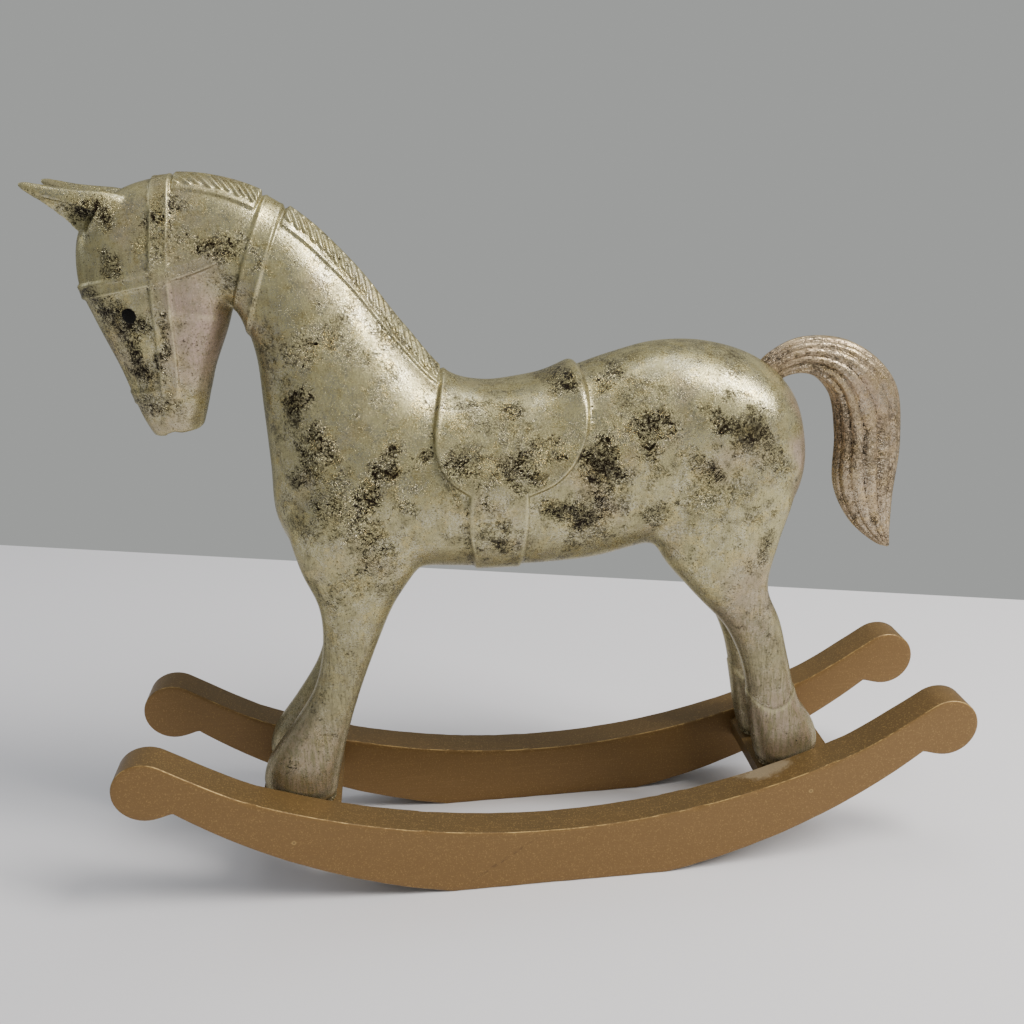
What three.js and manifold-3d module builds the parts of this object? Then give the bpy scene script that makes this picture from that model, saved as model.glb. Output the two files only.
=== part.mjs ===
// A rocking horse ornament: a carved horse with a saddle, bridle and mane cut into the same block,
// a plugged-in tail, two knob-ended rockers and the two crossbars that the hooves stand on.
// Millimetres, +Z up. The horse faces -X, its left side is -Y, and the rockers stand on the floor at z = 0.
import * as THREE from "three";
import { mergeVertices } from "three/addons/utils/BufferGeometryUtils.js";
import Module from "manifold-3d";

const wasm = await Module();
wasm.setup();

// Rockers: one flat board each, sawn to a long bow with a round knob at both ends.
const ROCKER_LENGTH = 400; // over the knobs
const ROCKER_THICKNESS = 16.5;
const ROCKER_GAUGE = 53.4; // clear width between the two boards
const ROCKER_WAIST = 29.8; // depth of the board at mid length
const BOW_TOP_RADIUS = 365;
const BOW_SOLE_RADIUS = 281;
const SOLE_FLAT = 103; // length of the flat planed on the sole, which it stands on
const KNOB_RADIUS = 14.4;
const NOTCH_SETBACK = 11.2; // from the knob's centre back to the notch under it
const KNOB_LIFT = 12.1; // from the notch up to the knob's centre
const BOW_BLEND = 45.6; // from the knob's centre back to where the bow's top arc begins
const KNOB_SHOULDER = THREE.MathUtils.degToRad(32); // slope of the board where it runs into the knob
const EASED_EDGE = 0.8;

// Crossbars: slats between the boards, leaning with the bow.
const BAR_SPREAD = 240; // between the two bars' centres
const BAR_WIDTH = 37;
const BAR_THICKNESS = 10.5;
const BAR_LEAN = THREE.MathUtils.degToRad(11);
const BAR_DROP = 7.4; // from the boards' top edge down to the middle of a bar's top face
const SEAT_GAP = 0.3; // clearance where two pieces meet

// Horse. It keeps its proportions as drawn, and is scaled to its height from sole to poll.
const FIGURE_HEIGHT = 283.3;
const HOOF_SIDE_GAP = 0.6; // between a hoof and the board beside it
const SADDLE_RELIEF = 2.0;
const STRAP_RELIEF = 1.4;
const MANE_RELIEF = 2.0;
const MANE_GROOVE = 1.5; // depth between two locks
const TAIL_FLUTE_DEPTH = 1.1;
const TAIL_FLUTES = 7; // on each side

// The drawing of the horse: heights are from the floor, and the hooves stand on the middles of the bars.
const DRAWN = { height: 283.3, sole: 42.7, hoofX: 120, hoofSide: 26.1 };
const SCALE = FIGURE_HEIGHT / DRAWN.height;
const BODY_SIDES = 10; // facets from belly to back on one side
const LEG_SIDES = 10;

const FINISHES = {
  horse: { color: 0xb9ae8c, roughness: 0.42, metalness: 0.25 },
  tail: { color: 0xa8957c, roughness: 0.45, metalness: 0.25 },
  rocker: { color: 0x8a6a3c, roughness: 0.55, metalness: 0.3 },
};

// A closed mesh as a solid that can be joined and cut.
function solidOf(geometry) {
  const bare = geometry.clone();
  bare.deleteAttribute("normal");
  bare.deleteAttribute("uv");
  const merged = mergeVertices(bare, 1e-4);
  const mesh = new wasm.Mesh({
    numProp: 3,
    vertProperties: merged.getAttribute("position").array,
    triVerts: new Uint32Array(merged.index.array),
  });
  return new wasm.Manifold(mesh);
}

function geometryOf(solid) {
  const mesh = solid.getMesh();
  const geometry = new THREE.BufferGeometry();
  geometry.setAttribute("position", new THREE.BufferAttribute(mesh.vertProperties, 3));
  geometry.setIndex(new THREE.BufferAttribute(mesh.triVerts, 1));
  geometry.computeVertexNormals();
  return geometry;
}

// The skin over a row of rings, closed by a fan at each end. The rings turn left-handed about their direction
// of travel, unless turned is true.
function skin(rings, turned = false) {
  const count = rings[0].length;
  const points = rings.flat();
  const faces = [];
  const face = (a, b, c) => faces.push(...(turned ? [a, c, b] : [a, b, c]));
  for (let i = 0; i + 1 < rings.length; i++)
    for (let j = 0; j < count; j++) {
      const a = i * count + j;
      const b = i * count + ((j + 1) % count);
      face(a, b, b + count);
      face(a, b + count, a + count);
    }
  for (const [ring, first] of [[0, true], [rings.length - 1, false]]) {
    const middle = rings[ring].reduce((sum, p) => sum.add(p), new THREE.Vector3()).divideScalar(count);
    const hub = points.push(middle) - 1;
    for (let j = 0; j < count; j++) {
      const a = ring * count + j;
      const b = ring * count + ((j + 1) % count);
      if (first) face(b, a, hub);
      else face(a, b, hub);
    }
  }
  const geometry = new THREE.BufferGeometry().setFromPoints(points);
  geometry.setIndex(faces);
  return geometry;
}

// A flat outline in the side view, carried right through the horse from side to side.
function prism(points, width = FIGURE_HEIGHT) {
  const geometry = new THREE.ExtrudeGeometry(new THREE.Shape(points), { depth: width, bevelEnabled: false });
  return geometry.rotateX(Math.PI / 2).translate(0, width / 2, 0);
}

// A line of the drawing in the side view, as x, z points.
const drawn = (...points) => points.map(([x, z]) => new THREE.Vector2(x, z).multiplyScalar(SCALE));
const smooth = (points, steps) => new THREE.SplineCurve(points).getPoints(steps);
const curve = (rows, pick) => new THREE.CatmullRomCurve3(rows.map((row) => new THREE.Vector3(...pick(row))));
const bulge = (value, power) => Math.sign(value) * Math.abs(value) ** power;

// A band of the given half width along a line in the side view.
function band(line, half) {
  const left = [];
  const right = [];
  line.forEach((p, i) => {
    const before = line[Math.max(i - 1, 0)];
    const after = line[Math.min(i + 1, line.length - 1)];
    const across = after.clone().sub(before).normalize().rotateAround(new THREE.Vector2(), Math.PI / 2);
    left.push(p.clone().addScaledVector(across, half));
    right.push(p.clone().addScaledVector(across, -half));
  });
  return [...left, ...right.reverse()];
}

// Trunk, neck and head. Each rib runs from the underside to the top line, seen from the side:
// under x, z; over x, z; half width; squareness below and above; share of the rib at which it is widest.
const RIBS = [
  [-146.8, 222.4, -167.4, 219.8, 9.4, 2.6, 2.6, 0.5], // lips
  [-144.4, 229.6, -171.0, 228.2, 12.4, 2.4, 2.5, 0.5],
  [-138.4, 248.5, -177.2, 250.5, 14.2, 2.3, 2.6, 0.47],
  [-131.8, 263.5, -184.2, 270.5, 17.2, 2.3, 2.6, 0.47], // cheek
  [-129.2, 270.6, -188.6, 287.0, 19.2, 2.3, 2.5, 0.5], // brow
  [-128.2, 272.4, -184.6, 307.0, 19.2, 2.3, 2.3, 0.53],
  [-127.2, 272.8, -168.8, 320.2, 18.0, 2.3, 2.2, 0.53], // poll
  [-126.0, 271.4, -148.6, 325.2, 17.2, 2.3, 2.1, 0.5],
  [-123.8, 266.4, -125.6, 322.2, 17.4, 2.3, 2.0, 0.47],
  [-120.8, 251.5, -102.4, 310.4, 19.2, 2.3, 1.95, 0.45],
  [-120.2, 228.0, -78.8, 287.0, 23.4, 2.3, 1.9, 0.44],
  [-119.8, 203.0, -58.4, 258.8, 28.6, 2.4, 1.9, 0.45],
  [-118.8, 179.0, -41.0, 238.6, 32.4, 2.6, 2.0, 0.47], // withers
  [-106.0, 159.0, -25.0, 233.6, 34.8, 2.5, 2.2, 0.48],
  [-66.0, 154.6, -6.0, 234.6, 35.8, 2.3, 2.3, 0.48], // girth
  [-22.0, 151.8, 12.0, 238.4, 35.8, 2.3, 2.3, 0.48],
  [18.0, 152.4, 32.0, 244.6, 35.4, 2.3, 2.3, 0.49], // loin
  [48.0, 158.0, 54.0, 249.0, 35.4, 2.3, 2.3, 0.5],
  [76.0, 160.0, 78.0, 247.2, 35.0, 2.3, 2.3, 0.52], // croup
  [97.0, 164.0, 98.0, 239.6, 32.0, 2.3, 2.2, 0.52],
  [111.6, 171.0, 112.2, 226.0, 25.0, 2.2, 2.1, 0.5],
  [117.8, 183.0, 118.0, 207.0, 13.5, 2.1, 2.0, 0.5], // dock
];
const BODY_RINGS = 31; // evenly spaced along the top line
const BODY = {
  unders: curve(RIBS, ([x, z]) => [x, z, 0]),
  overs: curve(RIBS, ([, , x, z]) => [x, z, 0]),
  girths: curve(RIBS, ([, , , , half, , , widest]) => [half, widest, 0]),
  corners: curve(RIBS, ([, , , , , below, above]) => [below, above, 0]),
};

// A point of the trunk's skin, moved out by grow. t runs from lips to dock, and turn from the underside at 0
// over the right side to the top line at half a turn, and on over the left side.
function onBody(t, turn, grow) {
  const under = BODY.unders.getPoint(t);
  const rib = BODY.overs.getPoint(t).sub(under);
  const { x: half, y: widest } = BODY.girths.getPoint(t);
  const { x: below, y: above } = BODY.corners.getPoint(t);
  const square = Math.cos(turn) > 0 ? below : above;
  const along = (1 - bulge(Math.cos(turn), 2 / square)) / 2;
  const share = along + 4 * (widest - 0.5) * along * (1 - along);
  const side = bulge(Math.sin(turn), 2 / square);
  const p = under.addScaledVector(rib, share).multiplyScalar(SCALE);
  p.addScaledVector(rib.normalize(), grow * (2 * share - 1));
  return new THREE.Vector3(p.x, side * (half * SCALE + grow), p.y);
}

function bodyRings(grow) {
  return Array.from({ length: BODY_RINGS + 1 }, (_, i) => {
    const t = BODY.overs.getUtoTmapping(i / BODY_RINGS);
    return Array.from({ length: 2 * BODY_SIDES }, (_, j) => onBody(t, (Math.PI * j) / BODY_SIDES, grow));
  });
}

const bodySkin = (grow) => solidOf(skin(bodyRings(grow)));

// Where the bars stand: middle of each bar's top face.
const bowTop = (x) => ROCKER_WAIST + BOW_TOP_RADIUS - Math.sqrt(BOW_TOP_RADIUS ** 2 - x ** 2);
const BAR_X = BAR_SPREAD / 2;
const BAR_Z = bowTop(BAR_X) - BAR_DROP;

// Legs, by height: z; front edge x; back edge x; inner and outer side y.
const LEGS = {
  fore: [
    [36, -136.0, -104.5, 2.7, 26.1],
    [50, -137.4, -102.3, 2.7, 26.1],
    [62, -134.4, -99.2, 3.2, 25.9],
    [80, -121.6, -94.4, 5.5, 24.9],
    [99, -109.6, -87.8, 7.1, 24.7],
    [120, -104.0, -79.4, 7.1, 26.1],
    [141, -104.0, -69.6, 5.7, 29.6],
    [162, -111.0, -56.0, 3.2, 33.8],
    [184, -113.0, -50.0, 2.7, 35.1],
    [208, -96.0, -60.0, 7.4, 33.1],
  ],
  hind: [
    [34, 104.0, 129.5, 2.7, 26.1],
    [47, 101.0, 132.2, 2.7, 26.1],
    [60, 98.4, 130.0, 3.2, 25.9],
    [78, 96.2, 119.6, 5.7, 24.9],
    [98, 91.6, 114.2, 7.4, 24.7],
    [118, 81.8, 108.8, 6.9, 27.3],
    [138, 64.4, 101.4, 5.5, 31.2],
    [160, 48.6, 105.0, 3.4, 35.0],
    [184, 48.0, 110.6, 2.7, 35.5],
    [214, 66.0, 98.0, 5.5, 33.1],
  ],
};
const LEG_SQUARENESS = 2.35;
const LEG_STEPS = 2; // rings from one station to the next
const LEG_FITTED = 45; // below this height a leg keeps to its bar and to the boards beside it
const LEG_FREE = 150; // above this height it keeps to the trunk

function leg(stations, side) {
  const edges = curve(stations, ([z, front, back]) => [front, back, z]);
  const sides = curve(stations, ([, , , inner, outer]) => [inner, outer, 0]);
  const outward = Math.sign(stations[0][1]);
  const reach = outward * (BAR_X - DRAWN.hoofX * SCALE);
  const spread = (ROCKER_GAUGE / 2 - HOOF_SIDE_GAP) / DRAWN.hoofSide - SCALE;
  const steps = (stations.length - 1) * LEG_STEPS;
  const rings = Array.from({ length: steps + 1 }, (_, i) => {
    const { x: front, y: back, z } = edges.getPoint(i / steps);
    const { x: inner, y: outer } = sides.getPoint(i / steps);
    const fitted = 1 - THREE.MathUtils.smoothstep(z, LEG_FITTED, LEG_FREE);
    return Array.from({ length: LEG_SIDES }, (_, j) => {
      const turn = (2 * Math.PI * j) / LEG_SIDES;
      const x = THREE.MathUtils.lerp(front, back, (1 + bulge(Math.cos(turn), 2 / LEG_SQUARENESS)) / 2);
      const y = THREE.MathUtils.lerp(inner, outer, (1 + bulge(Math.sin(turn), 2 / LEG_SQUARENESS)) / 2);
      return new THREE.Vector3(x * SCALE + reach * fitted, side * y * (SCALE + spread * fitted), z * SCALE);
    });
  });
  return solidOf(skin(rings, side < 0));
}

// What lies below a bar's top face, with the clearance: it trims the soles to the bar.
function belowBar(outward) {
  const size = BAR_SPREAD / 2;
  const box = new THREE.BoxGeometry(size, size, size).translate(0, 0, SEAT_GAP - size / 2);
  return solidOf(box.rotateY(-outward * BAR_LEAN).translate(outward * BAR_X, 0, DRAWN.sole * SCALE));
}

// An ear: a leaf that points forward, scooped out on its lower outer side. From base to tip:
// axis x, y, z; half breadth; half thickness.
const EAR = [
  [-166.0, 8.6, 308.4, 10.4, 5.0],
  [-175.6, 9.8, 312.2, 10.2, 5.6],
  [-183.0, 11.0, 315.6, 7.4, 4.9],
  [-189.6, 12.2, 318.8, 4.7, 3.7],
  [-195.6, 13.4, 321.8, 2.8, 2.5],
  [-200.2, 14.2, 323.9, 1.5, 1.4],
  [-201.9, 14.4, 324.6, 0.5, 0.5],
];
const EAR_SIDES = 8;
const EAR_TILT = THREE.MathUtils.degToRad(33);
const EAR_SCOOP = { sink: 4.4, outward: 1.8, breadth: 0.76, thickness: 0.78, from: 1 };

function ear(side) {
  const leaf = ({ sink, outward, breadth, thickness, from }) => {
    const rings = EAR.slice(from).map(([x, y, z, half, thick]) =>
      Array.from({ length: EAR_SIDES }, (_, j) => {
        const turn = (2 * Math.PI * j) / EAR_SIDES;
        const up = Math.cos(turn) * half * breadth - sink;
        const across = y + outward + Math.sin(turn) * thick * thickness;
        const p = new THREE.Vector3(x + Math.sin(EAR_TILT) * up, side * across, z + Math.cos(EAR_TILT) * up);
        return p.multiplyScalar(SCALE);
      }),
    );
    return solidOf(skin(rings, side < 0));
  };
  return leaf({ sink: 0, outward: 0, breadth: 1, thickness: 1, from: 0 }).subtract(leaf(EAR_SCOOP));
}

// Tack carved on the trunk and head: outlines in the side view, each raised by its relief.
const SADDLE_FRONT = drawn(
  [-43, 262], [-43.6, 244], [-46.4, 231], [-48.6, 220], [-48, 210], [-43.4, 201.4], [-34.4, 194.4],
);
const SADDLE_BACK = drawn(
  [-9.6, 193.6], [1, 198], [9, 205.4], [14.6, 216], [17, 228], [16.6, 240], [14.6, 262],
);
const GIRTH_FRONT = drawn([-34, 200], [-35.8, 187], [-35.6, 174], [-33.8, 162], [-31.8, 140]);
const GIRTH_BACK = drawn([-14.4, 140], [-12.6, 160], [-11, 176], [-10.4, 188], [-11, 200]);
const CROWN_STRAP = drawn([-150.6, 336], [-150.8, 312], [-152.4, 298], [-153.6, 287]);
const CHEEK_STRAP = drawn([-153.6, 287], [-154.2, 270], [-155.2, 253], [-156.6, 237]);
const BROW_BAND = drawn(
  [-196, 279.2], [-184, 282.4], [-168, 285.6], [-153.6, 288.2], [-138, 292.4], [-126, 297.4],
);
const NOSE_BAND = drawn([-184, 235.8], [-170, 237.8], [-154.6, 239.8], [-134, 241.4]);
const THROAT_STRAP = drawn([-103.6, 324], [-109.6, 309.4], [-115.6, 293.4], [-120.8, 279], [-126.4, 262]);
const STRAP_STEPS = 2;
const STRAP_HALF = { crown: 3.9, cheek: 3.9, brow: 3.1, nose: 3.0, throat: 4.3 };

function raised(outline, relief) {
  return bodySkin(relief).intersect(solidOf(prism(outline)));
}

function saddle() {
  const flap = raised([...smooth(SADDLE_FRONT, 10), ...smooth(SADDLE_BACK, 10)], SADDLE_RELIEF);
  const girth = raised([...smooth(GIRTH_FRONT, 5), ...smooth(GIRTH_BACK, 5)], STRAP_RELIEF);
  return flap.add(girth);
}

function bridle() {
  const lines = [
    [CROWN_STRAP, STRAP_HALF.crown],
    [CHEEK_STRAP, STRAP_HALF.cheek],
    [BROW_BAND, STRAP_HALF.brow],
    [NOSE_BAND, STRAP_HALF.nose],
    [THROAT_STRAP, STRAP_HALF.throat],
  ];
  return lines
    .map(([line, half]) => raised(band(smooth(line, STRAP_STEPS), half * SCALE), STRAP_RELIEF))
    .reduce((all, strap) => all.add(strap));
}

// Mane: a raised strip over the crest, grooved into slanting locks that meet at the crest line.
const MANE_FROM = 6.75; // rib near the poll where it begins
const MANE_TO = 12.35; // rib at the withers where it ends
const MANE_LOCKS = 29;
const MANE_WIDTH = 9.5; // down each side of the crest
const MANE_ROWS = 2; // on each side
const MANE_LEAN = 0.28; // ribs that a lock runs back from the crest to its tip

function mane() {
  const strip = (grow, depth) =>
    Array.from({ length: 2 * MANE_LOCKS + 1 }, (_, i) =>
      Array.from({ length: 2 * MANE_ROWS + 1 }, (_, j) => {
        const down = (j - MANE_ROWS) / MANE_ROWS;
        const rib = MANE_FROM + ((MANE_TO - MANE_FROM) * i) / (2 * MANE_LOCKS) + MANE_LEAN * Math.abs(down);
        const t = rib / (RIBS.length - 1);
        const length = SCALE * BODY.overs.getPoint(t).distanceTo(BODY.unders.getPoint(t));
        const square = BODY.corners.getPoint(t).y;
        const turn = Math.acos((1 - (2 * MANE_WIDTH * Math.abs(down)) / length) ** (square / 2));
        return onBody(t, Math.PI + Math.sign(down) * turn, grow - (i % 2 || !down ? 0 : depth));
      }),
    );
  const outer = strip(MANE_RELIEF, MANE_GROOVE);
  const inner = strip(-MANE_RELIEF, 0);
  return solidOf(skin(outer.map((row, i) => [...row, ...inner[i].reverse()])));
}

// The mouth is one shallow hollow across the end of the muzzle.
const MOUTH = drawn([-163, 218], [-160.6, 221.6], [-157.4, 222.6], [-153.6, 221.4], [-151, 218]);

function mouth() {
  return solidOf(prism(smooth(MOUTH, 5)));
}

function horse() {
  const pairs = [1, -1].flatMap((side) => [leg(LEGS.fore, side), leg(LEGS.hind, side), ear(side)]);
  const block = [...pairs, saddle(), bridle(), mane()].reduce((all, part) => all.add(part), bodySkin(0));
  const cuts = [mouth(), belowBar(1), belowBar(-1), tailSocket()];
  return geometryOf(cuts.reduce((rest, cut) => rest.subtract(cut), block));
}

// Tail: seen from the side, each rib runs from its inner to its outer edge, with its half thickness.
const TAIL_RIBS = [
  [104.0, 224.0, 95.5, 233.8, 4.8],
  [110.6, 230.6, 102.2, 241.2, 6.4],
  [121.8, 231.2, 117.0, 248.0, 8.2],
  [131.8, 221.8, 141.0, 245.2, 9.2],
  [136.2, 202.0, 161.8, 227.0, 9.4],
  [137.4, 177.0, 167.4, 199.0, 8.8],
  [147.0, 158.4, 166.4, 171.0, 6.6],
  [161.0, 146.4, 167.0, 151.0, 3.2],
  [166.4, 144.3, 167.7, 145.6, 1.0],
];
const TAIL_STEPS = 2;

function tailRings(grow, flute) {
  const inners = curve(TAIL_RIBS, ([x, z]) => [x, z, 0]);
  const outers = curve(TAIL_RIBS, ([, , x, z]) => [x, z, 0]);
  const halves = curve(TAIL_RIBS, ([, , , , half]) => [half, 0, 0]);
  const rings = (TAIL_RIBS.length - 1) * TAIL_STEPS;
  const around = 4 * TAIL_FLUTES;
  return Array.from({ length: rings + 1 }, (_, i) => {
    const t = i / rings;
    const inner = inners.getPoint(t).multiplyScalar(SCALE);
    const rib = outers.getPoint(t).multiplyScalar(SCALE).sub(inner);
    const half = halves.getPoint(t).x * SCALE;
    const middle = inner.clone().addScaledVector(rib, 0.5);
    const depth = Math.min(flute, 0.14 * half);
    return Array.from({ length: around }, (_, j) => {
      const turn = (2 * Math.PI * j) / around;
      const out = grow - (j % 2 ? 0 : depth);
      const p = middle.clone().addScaledVector(rib, -Math.cos(turn) * (0.5 + out / rib.length()));
      return new THREE.Vector3(p.x, Math.sin(turn) * (half + out), p.y);
    });
  });
}

const tail = () => skin(tailRings(0, TAIL_FLUTE_DEPTH));
const tailSocket = () => solidOf(skin(tailRings(SEAT_GAP, 0)));

// The right half of a rocker's outline, from the middle of its sole round the knob to the middle of its top.
function rockerHalf() {
  const knobX = ROCKER_LENGTH / 2 - KNOB_RADIUS;
  const soleCentre = Math.sqrt(BOW_SOLE_RADIUS ** 2 - (SOLE_FLAT / 2) ** 2);
  const topCentre = ROCKER_WAIST + BOW_TOP_RADIUS;
  const notchX = knobX - NOTCH_SETBACK;
  const notchZ = soleCentre - Math.sqrt(BOW_SOLE_RADIUS ** 2 - notchX ** 2);
  const knobZ = notchZ + KNOB_LIFT;
  const knobStart = THREE.MathUtils.degToRad(-100);
  const knobEnd = Math.PI / 2 + KNOB_SHOULDER;
  const onKnob = (angle, along) =>
    new THREE.Vector2(
      knobX + KNOB_RADIUS * Math.cos(angle) - along * Math.sin(angle),
      knobZ + KNOB_RADIUS * Math.sin(angle) + along * Math.cos(angle),
    );
  const bowEndX = knobX - BOW_BLEND;
  const bowEnd = Math.asin(bowEndX / BOW_TOP_RADIUS);
  const easing = BOW_BLEND / 4;
  const path = new THREE.Path();
  path.moveTo(SOLE_FLAT / 2, 0);
  const onSole = (x) => Math.asin(x / BOW_SOLE_RADIUS) - Math.PI / 2;
  path.absarc(0, soleCentre, BOW_SOLE_RADIUS, onSole(SOLE_FLAT / 2), onSole(notchX));
  const lip = onKnob(knobStart, -KNOB_RADIUS / 3);
  const start = onKnob(knobStart, 0);
  path.bezierCurveTo(notchX + KNOB_RADIUS / 7, notchZ, lip.x, lip.y, start.x, start.y);
  path.absarc(knobX, knobZ, KNOB_RADIUS, knobStart, knobEnd);
  const leave = onKnob(knobEnd, easing);
  path.bezierCurveTo(
    leave.x,
    leave.y,
    bowEndX + easing * Math.cos(bowEnd),
    bowTop(bowEndX) + easing * Math.sin(bowEnd),
    bowEndX,
    bowTop(bowEndX),
  );
  path.absarc(0, topCentre, BOW_TOP_RADIUS, bowEnd - Math.PI / 2, -Math.PI / 2, true);
  return path.getPoints(5);
}

function rocker(side) {
  const half = rockerHalf();
  const mirrored = half.slice(0, -1).reverse().map((p) => new THREE.Vector2(-p.x, p.y));
  const geometry = new THREE.ExtrudeGeometry(new THREE.Shape([...half, ...mirrored]), {
    depth: ROCKER_THICKNESS - 2 * EASED_EDGE,
    bevelThickness: EASED_EDGE,
    bevelSize: EASED_EDGE,
    bevelOffset: -EASED_EDGE,
    bevelSegments: 1,
  });
  const middle = (ROCKER_GAUGE + ROCKER_THICKNESS) / 2;
  return geometry.rotateX(Math.PI / 2).translate(0, side * middle + ROCKER_THICKNESS / 2 - EASED_EDGE, 0);
}

function crossbar(outward) {
  const bar = new THREE.BoxGeometry(BAR_WIDTH, ROCKER_GAUGE, BAR_THICKNESS);
  bar.translate(0, 0, -BAR_THICKNESS / 2);
  return bar.rotateY(-outward * BAR_LEAN).translate(outward * BAR_X, 0, BAR_Z);
}

function piece(name, geometry, finish) {
  const mesh = new THREE.Mesh(geometry, new THREE.MeshStandardMaterial(FINISHES[finish]));
  mesh.name = name;
  return mesh;
}

const figure = new THREE.Group();
figure.add(piece("horse", horse(), "horse"), piece("tail", tail(), "tail"));
figure.position.z = BAR_Z - DRAWN.sole * SCALE;

const ornament = new THREE.Group();
ornament.add(
  figure,
  piece("rocker_left", rocker(-1), "rocker"),
  piece("rocker_right", rocker(1), "rocker"),
  piece("crossbar_front", crossbar(-1), "rocker"),
  piece("crossbar_rear", crossbar(1), "rocker"),
);

// The origin is on the floor, at the middle of the whole length.
const whole = new THREE.Box3().setFromObject(ornament);
ornament.position.x = -(whole.min.x + whole.max.x) / 2;

export default ornament;
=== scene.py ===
import logging
import math
from dataclasses import dataclass
from enum import Enum

import bpy
import numpy as np
from mathutils import Matrix, Vector
from mathutils.kdtree import KDTree

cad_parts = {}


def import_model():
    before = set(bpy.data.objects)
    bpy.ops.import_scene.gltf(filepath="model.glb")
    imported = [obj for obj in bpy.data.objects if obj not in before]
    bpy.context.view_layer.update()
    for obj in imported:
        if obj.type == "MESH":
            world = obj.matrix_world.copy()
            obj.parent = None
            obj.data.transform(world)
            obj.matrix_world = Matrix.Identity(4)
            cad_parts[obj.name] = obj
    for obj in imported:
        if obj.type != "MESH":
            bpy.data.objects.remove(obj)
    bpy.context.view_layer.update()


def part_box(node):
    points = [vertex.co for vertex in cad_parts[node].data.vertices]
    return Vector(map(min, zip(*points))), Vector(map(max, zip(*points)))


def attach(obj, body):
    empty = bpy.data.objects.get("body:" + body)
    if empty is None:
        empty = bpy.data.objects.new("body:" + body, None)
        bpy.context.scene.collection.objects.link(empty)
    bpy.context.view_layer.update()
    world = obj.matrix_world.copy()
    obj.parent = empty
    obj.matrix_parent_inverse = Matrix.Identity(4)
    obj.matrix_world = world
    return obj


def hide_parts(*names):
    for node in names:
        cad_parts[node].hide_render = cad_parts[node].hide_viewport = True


# A rocking horse ornament: a carved and gilded horse on two bowed boards. Metres in the meshes, millimetres
# in the tables, which are the solids' own. The horse faces -X; its left side, which the camera sees, is -Y.

LOG = logging.getLogger("rocking_horse")
MM = 0.001
BODY = "root"
SEAT_GAP = 0.3  # clearance where two pieces meet
DRAWN_BAR_Z = 42.7  # height of a slat's top in the drawing that the tables were read from
SMOOTH_ANGLE = math.radians(40)
THROUGH = 1000.0  # a size that lets a mark go through the whole piece
PATCH_SIDE, PATCH_DEPTH = -30.0, 45.0  # where patches of paint lie across the horse, and how far they reach
PATCH_FADE = (0.5, 1.75)  # from full to nothing, in half sizes
EYE = (-167.1, 273.1, 3.3, 3.6)  # x and z of its middle, and half sizes

Array = np.ndarray
Sizes = tuple[float, ...]
Rows = tuple[Sizes, ...]
Socket = bpy.types.NodeSocket
Mesh = bpy.types.Object


class Side(Enum):
    """The horse's own left and right."""

    LEFT = -1
    RIGHT = 1


class End(Enum):
    """Head end and tail end of the rockers."""

    FRONT = -1
    REAR = 1


# Shaping helpers


def smoothstep(value: Array, low: float, high: float) -> Array:
    """Eased 0 to 1 as value goes from low to high.

    Args:
        value: Any array.
        low: Where the result leaves 0.
        high: Where the result reaches 1.

    Returns:
        An array like value.
    """
    share = np.clip((value - low) / (high - low), 0.0, 1.0)
    return share * share * (3.0 - 2.0 * share)


def bulge(value: Array, power: float | Array) -> Array:
    """A signed power, which squares off a circle's sine or cosine."""
    return np.sign(value) * np.abs(value) ** power


def through(rows: Rows | Array, at: Array) -> Array:
    """Points of a centripetal Catmull-Rom line through rows, the kind that the solids use.

    Args:
        rows: The line's stations.
        at: Places from 0 at the first row to 1 at the last, evenly spaced by row.

    Returns:
        One point for each place.
    """
    rows = np.asarray(rows, float)
    padded = np.vstack([2 * rows[0] - rows[1], rows, 2 * rows[-1] - rows[-2]])
    place = np.clip(at, 0.0, 1.0) * (len(rows) - 1)
    first = np.minimum(place.astype(int), len(rows) - 2)
    w = (place - first)[:, None]
    p0, p1, p2, p3 = (padded[first + k] for k in range(4))
    step = [np.sqrt(np.linalg.norm(b - a, axis=1))[:, None] for a, b in ((p0, p1), (p1, p2), (p2, p3))]
    d1 = np.where(step[1] < 1e-4, 1.0, step[1])
    d0 = np.where(step[0] < 1e-4, d1, step[0])
    d2 = np.where(step[2] < 1e-4, d1, step[2])
    t1 = ((p1 - p0) / d0 - (p2 - p0) / (d0 + d1) + (p2 - p1) / d1) * d1
    t2 = ((p2 - p1) / d1 - (p3 - p1) / (d1 + d2) + (p3 - p2) / d2) * d1
    bend = w**2 * (3 * (p2 - p1) - 2 * t1 - t2) + w**3 * (2 * (p1 - p2) + t1 + t2)
    return p1 + w * t1 + bend


def fine(rows: Rows, steps: int = 8) -> Array:
    """A smooth polyline through rows, with the given number of steps from one to the next."""
    return through(rows, np.linspace(0.0, 1.0, (len(rows) - 1) * steps + 1))


def off_line(points: Array, line: Array) -> Array:
    """Distance of side-view points from a polyline.

    Args:
        points: N x 2.
        line: M x 2.

    Returns:
        N distances.
    """
    best = np.full(len(points), np.inf)
    for a, b in zip(line[:-1], line[1:]):
        run = b - a
        share = np.clip(((points - a) @ run) / (run @ run), 0.0, 1.0)
        best = np.minimum(best, np.linalg.norm(points - a - share[:, None] * run, axis=1))
    return best


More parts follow.
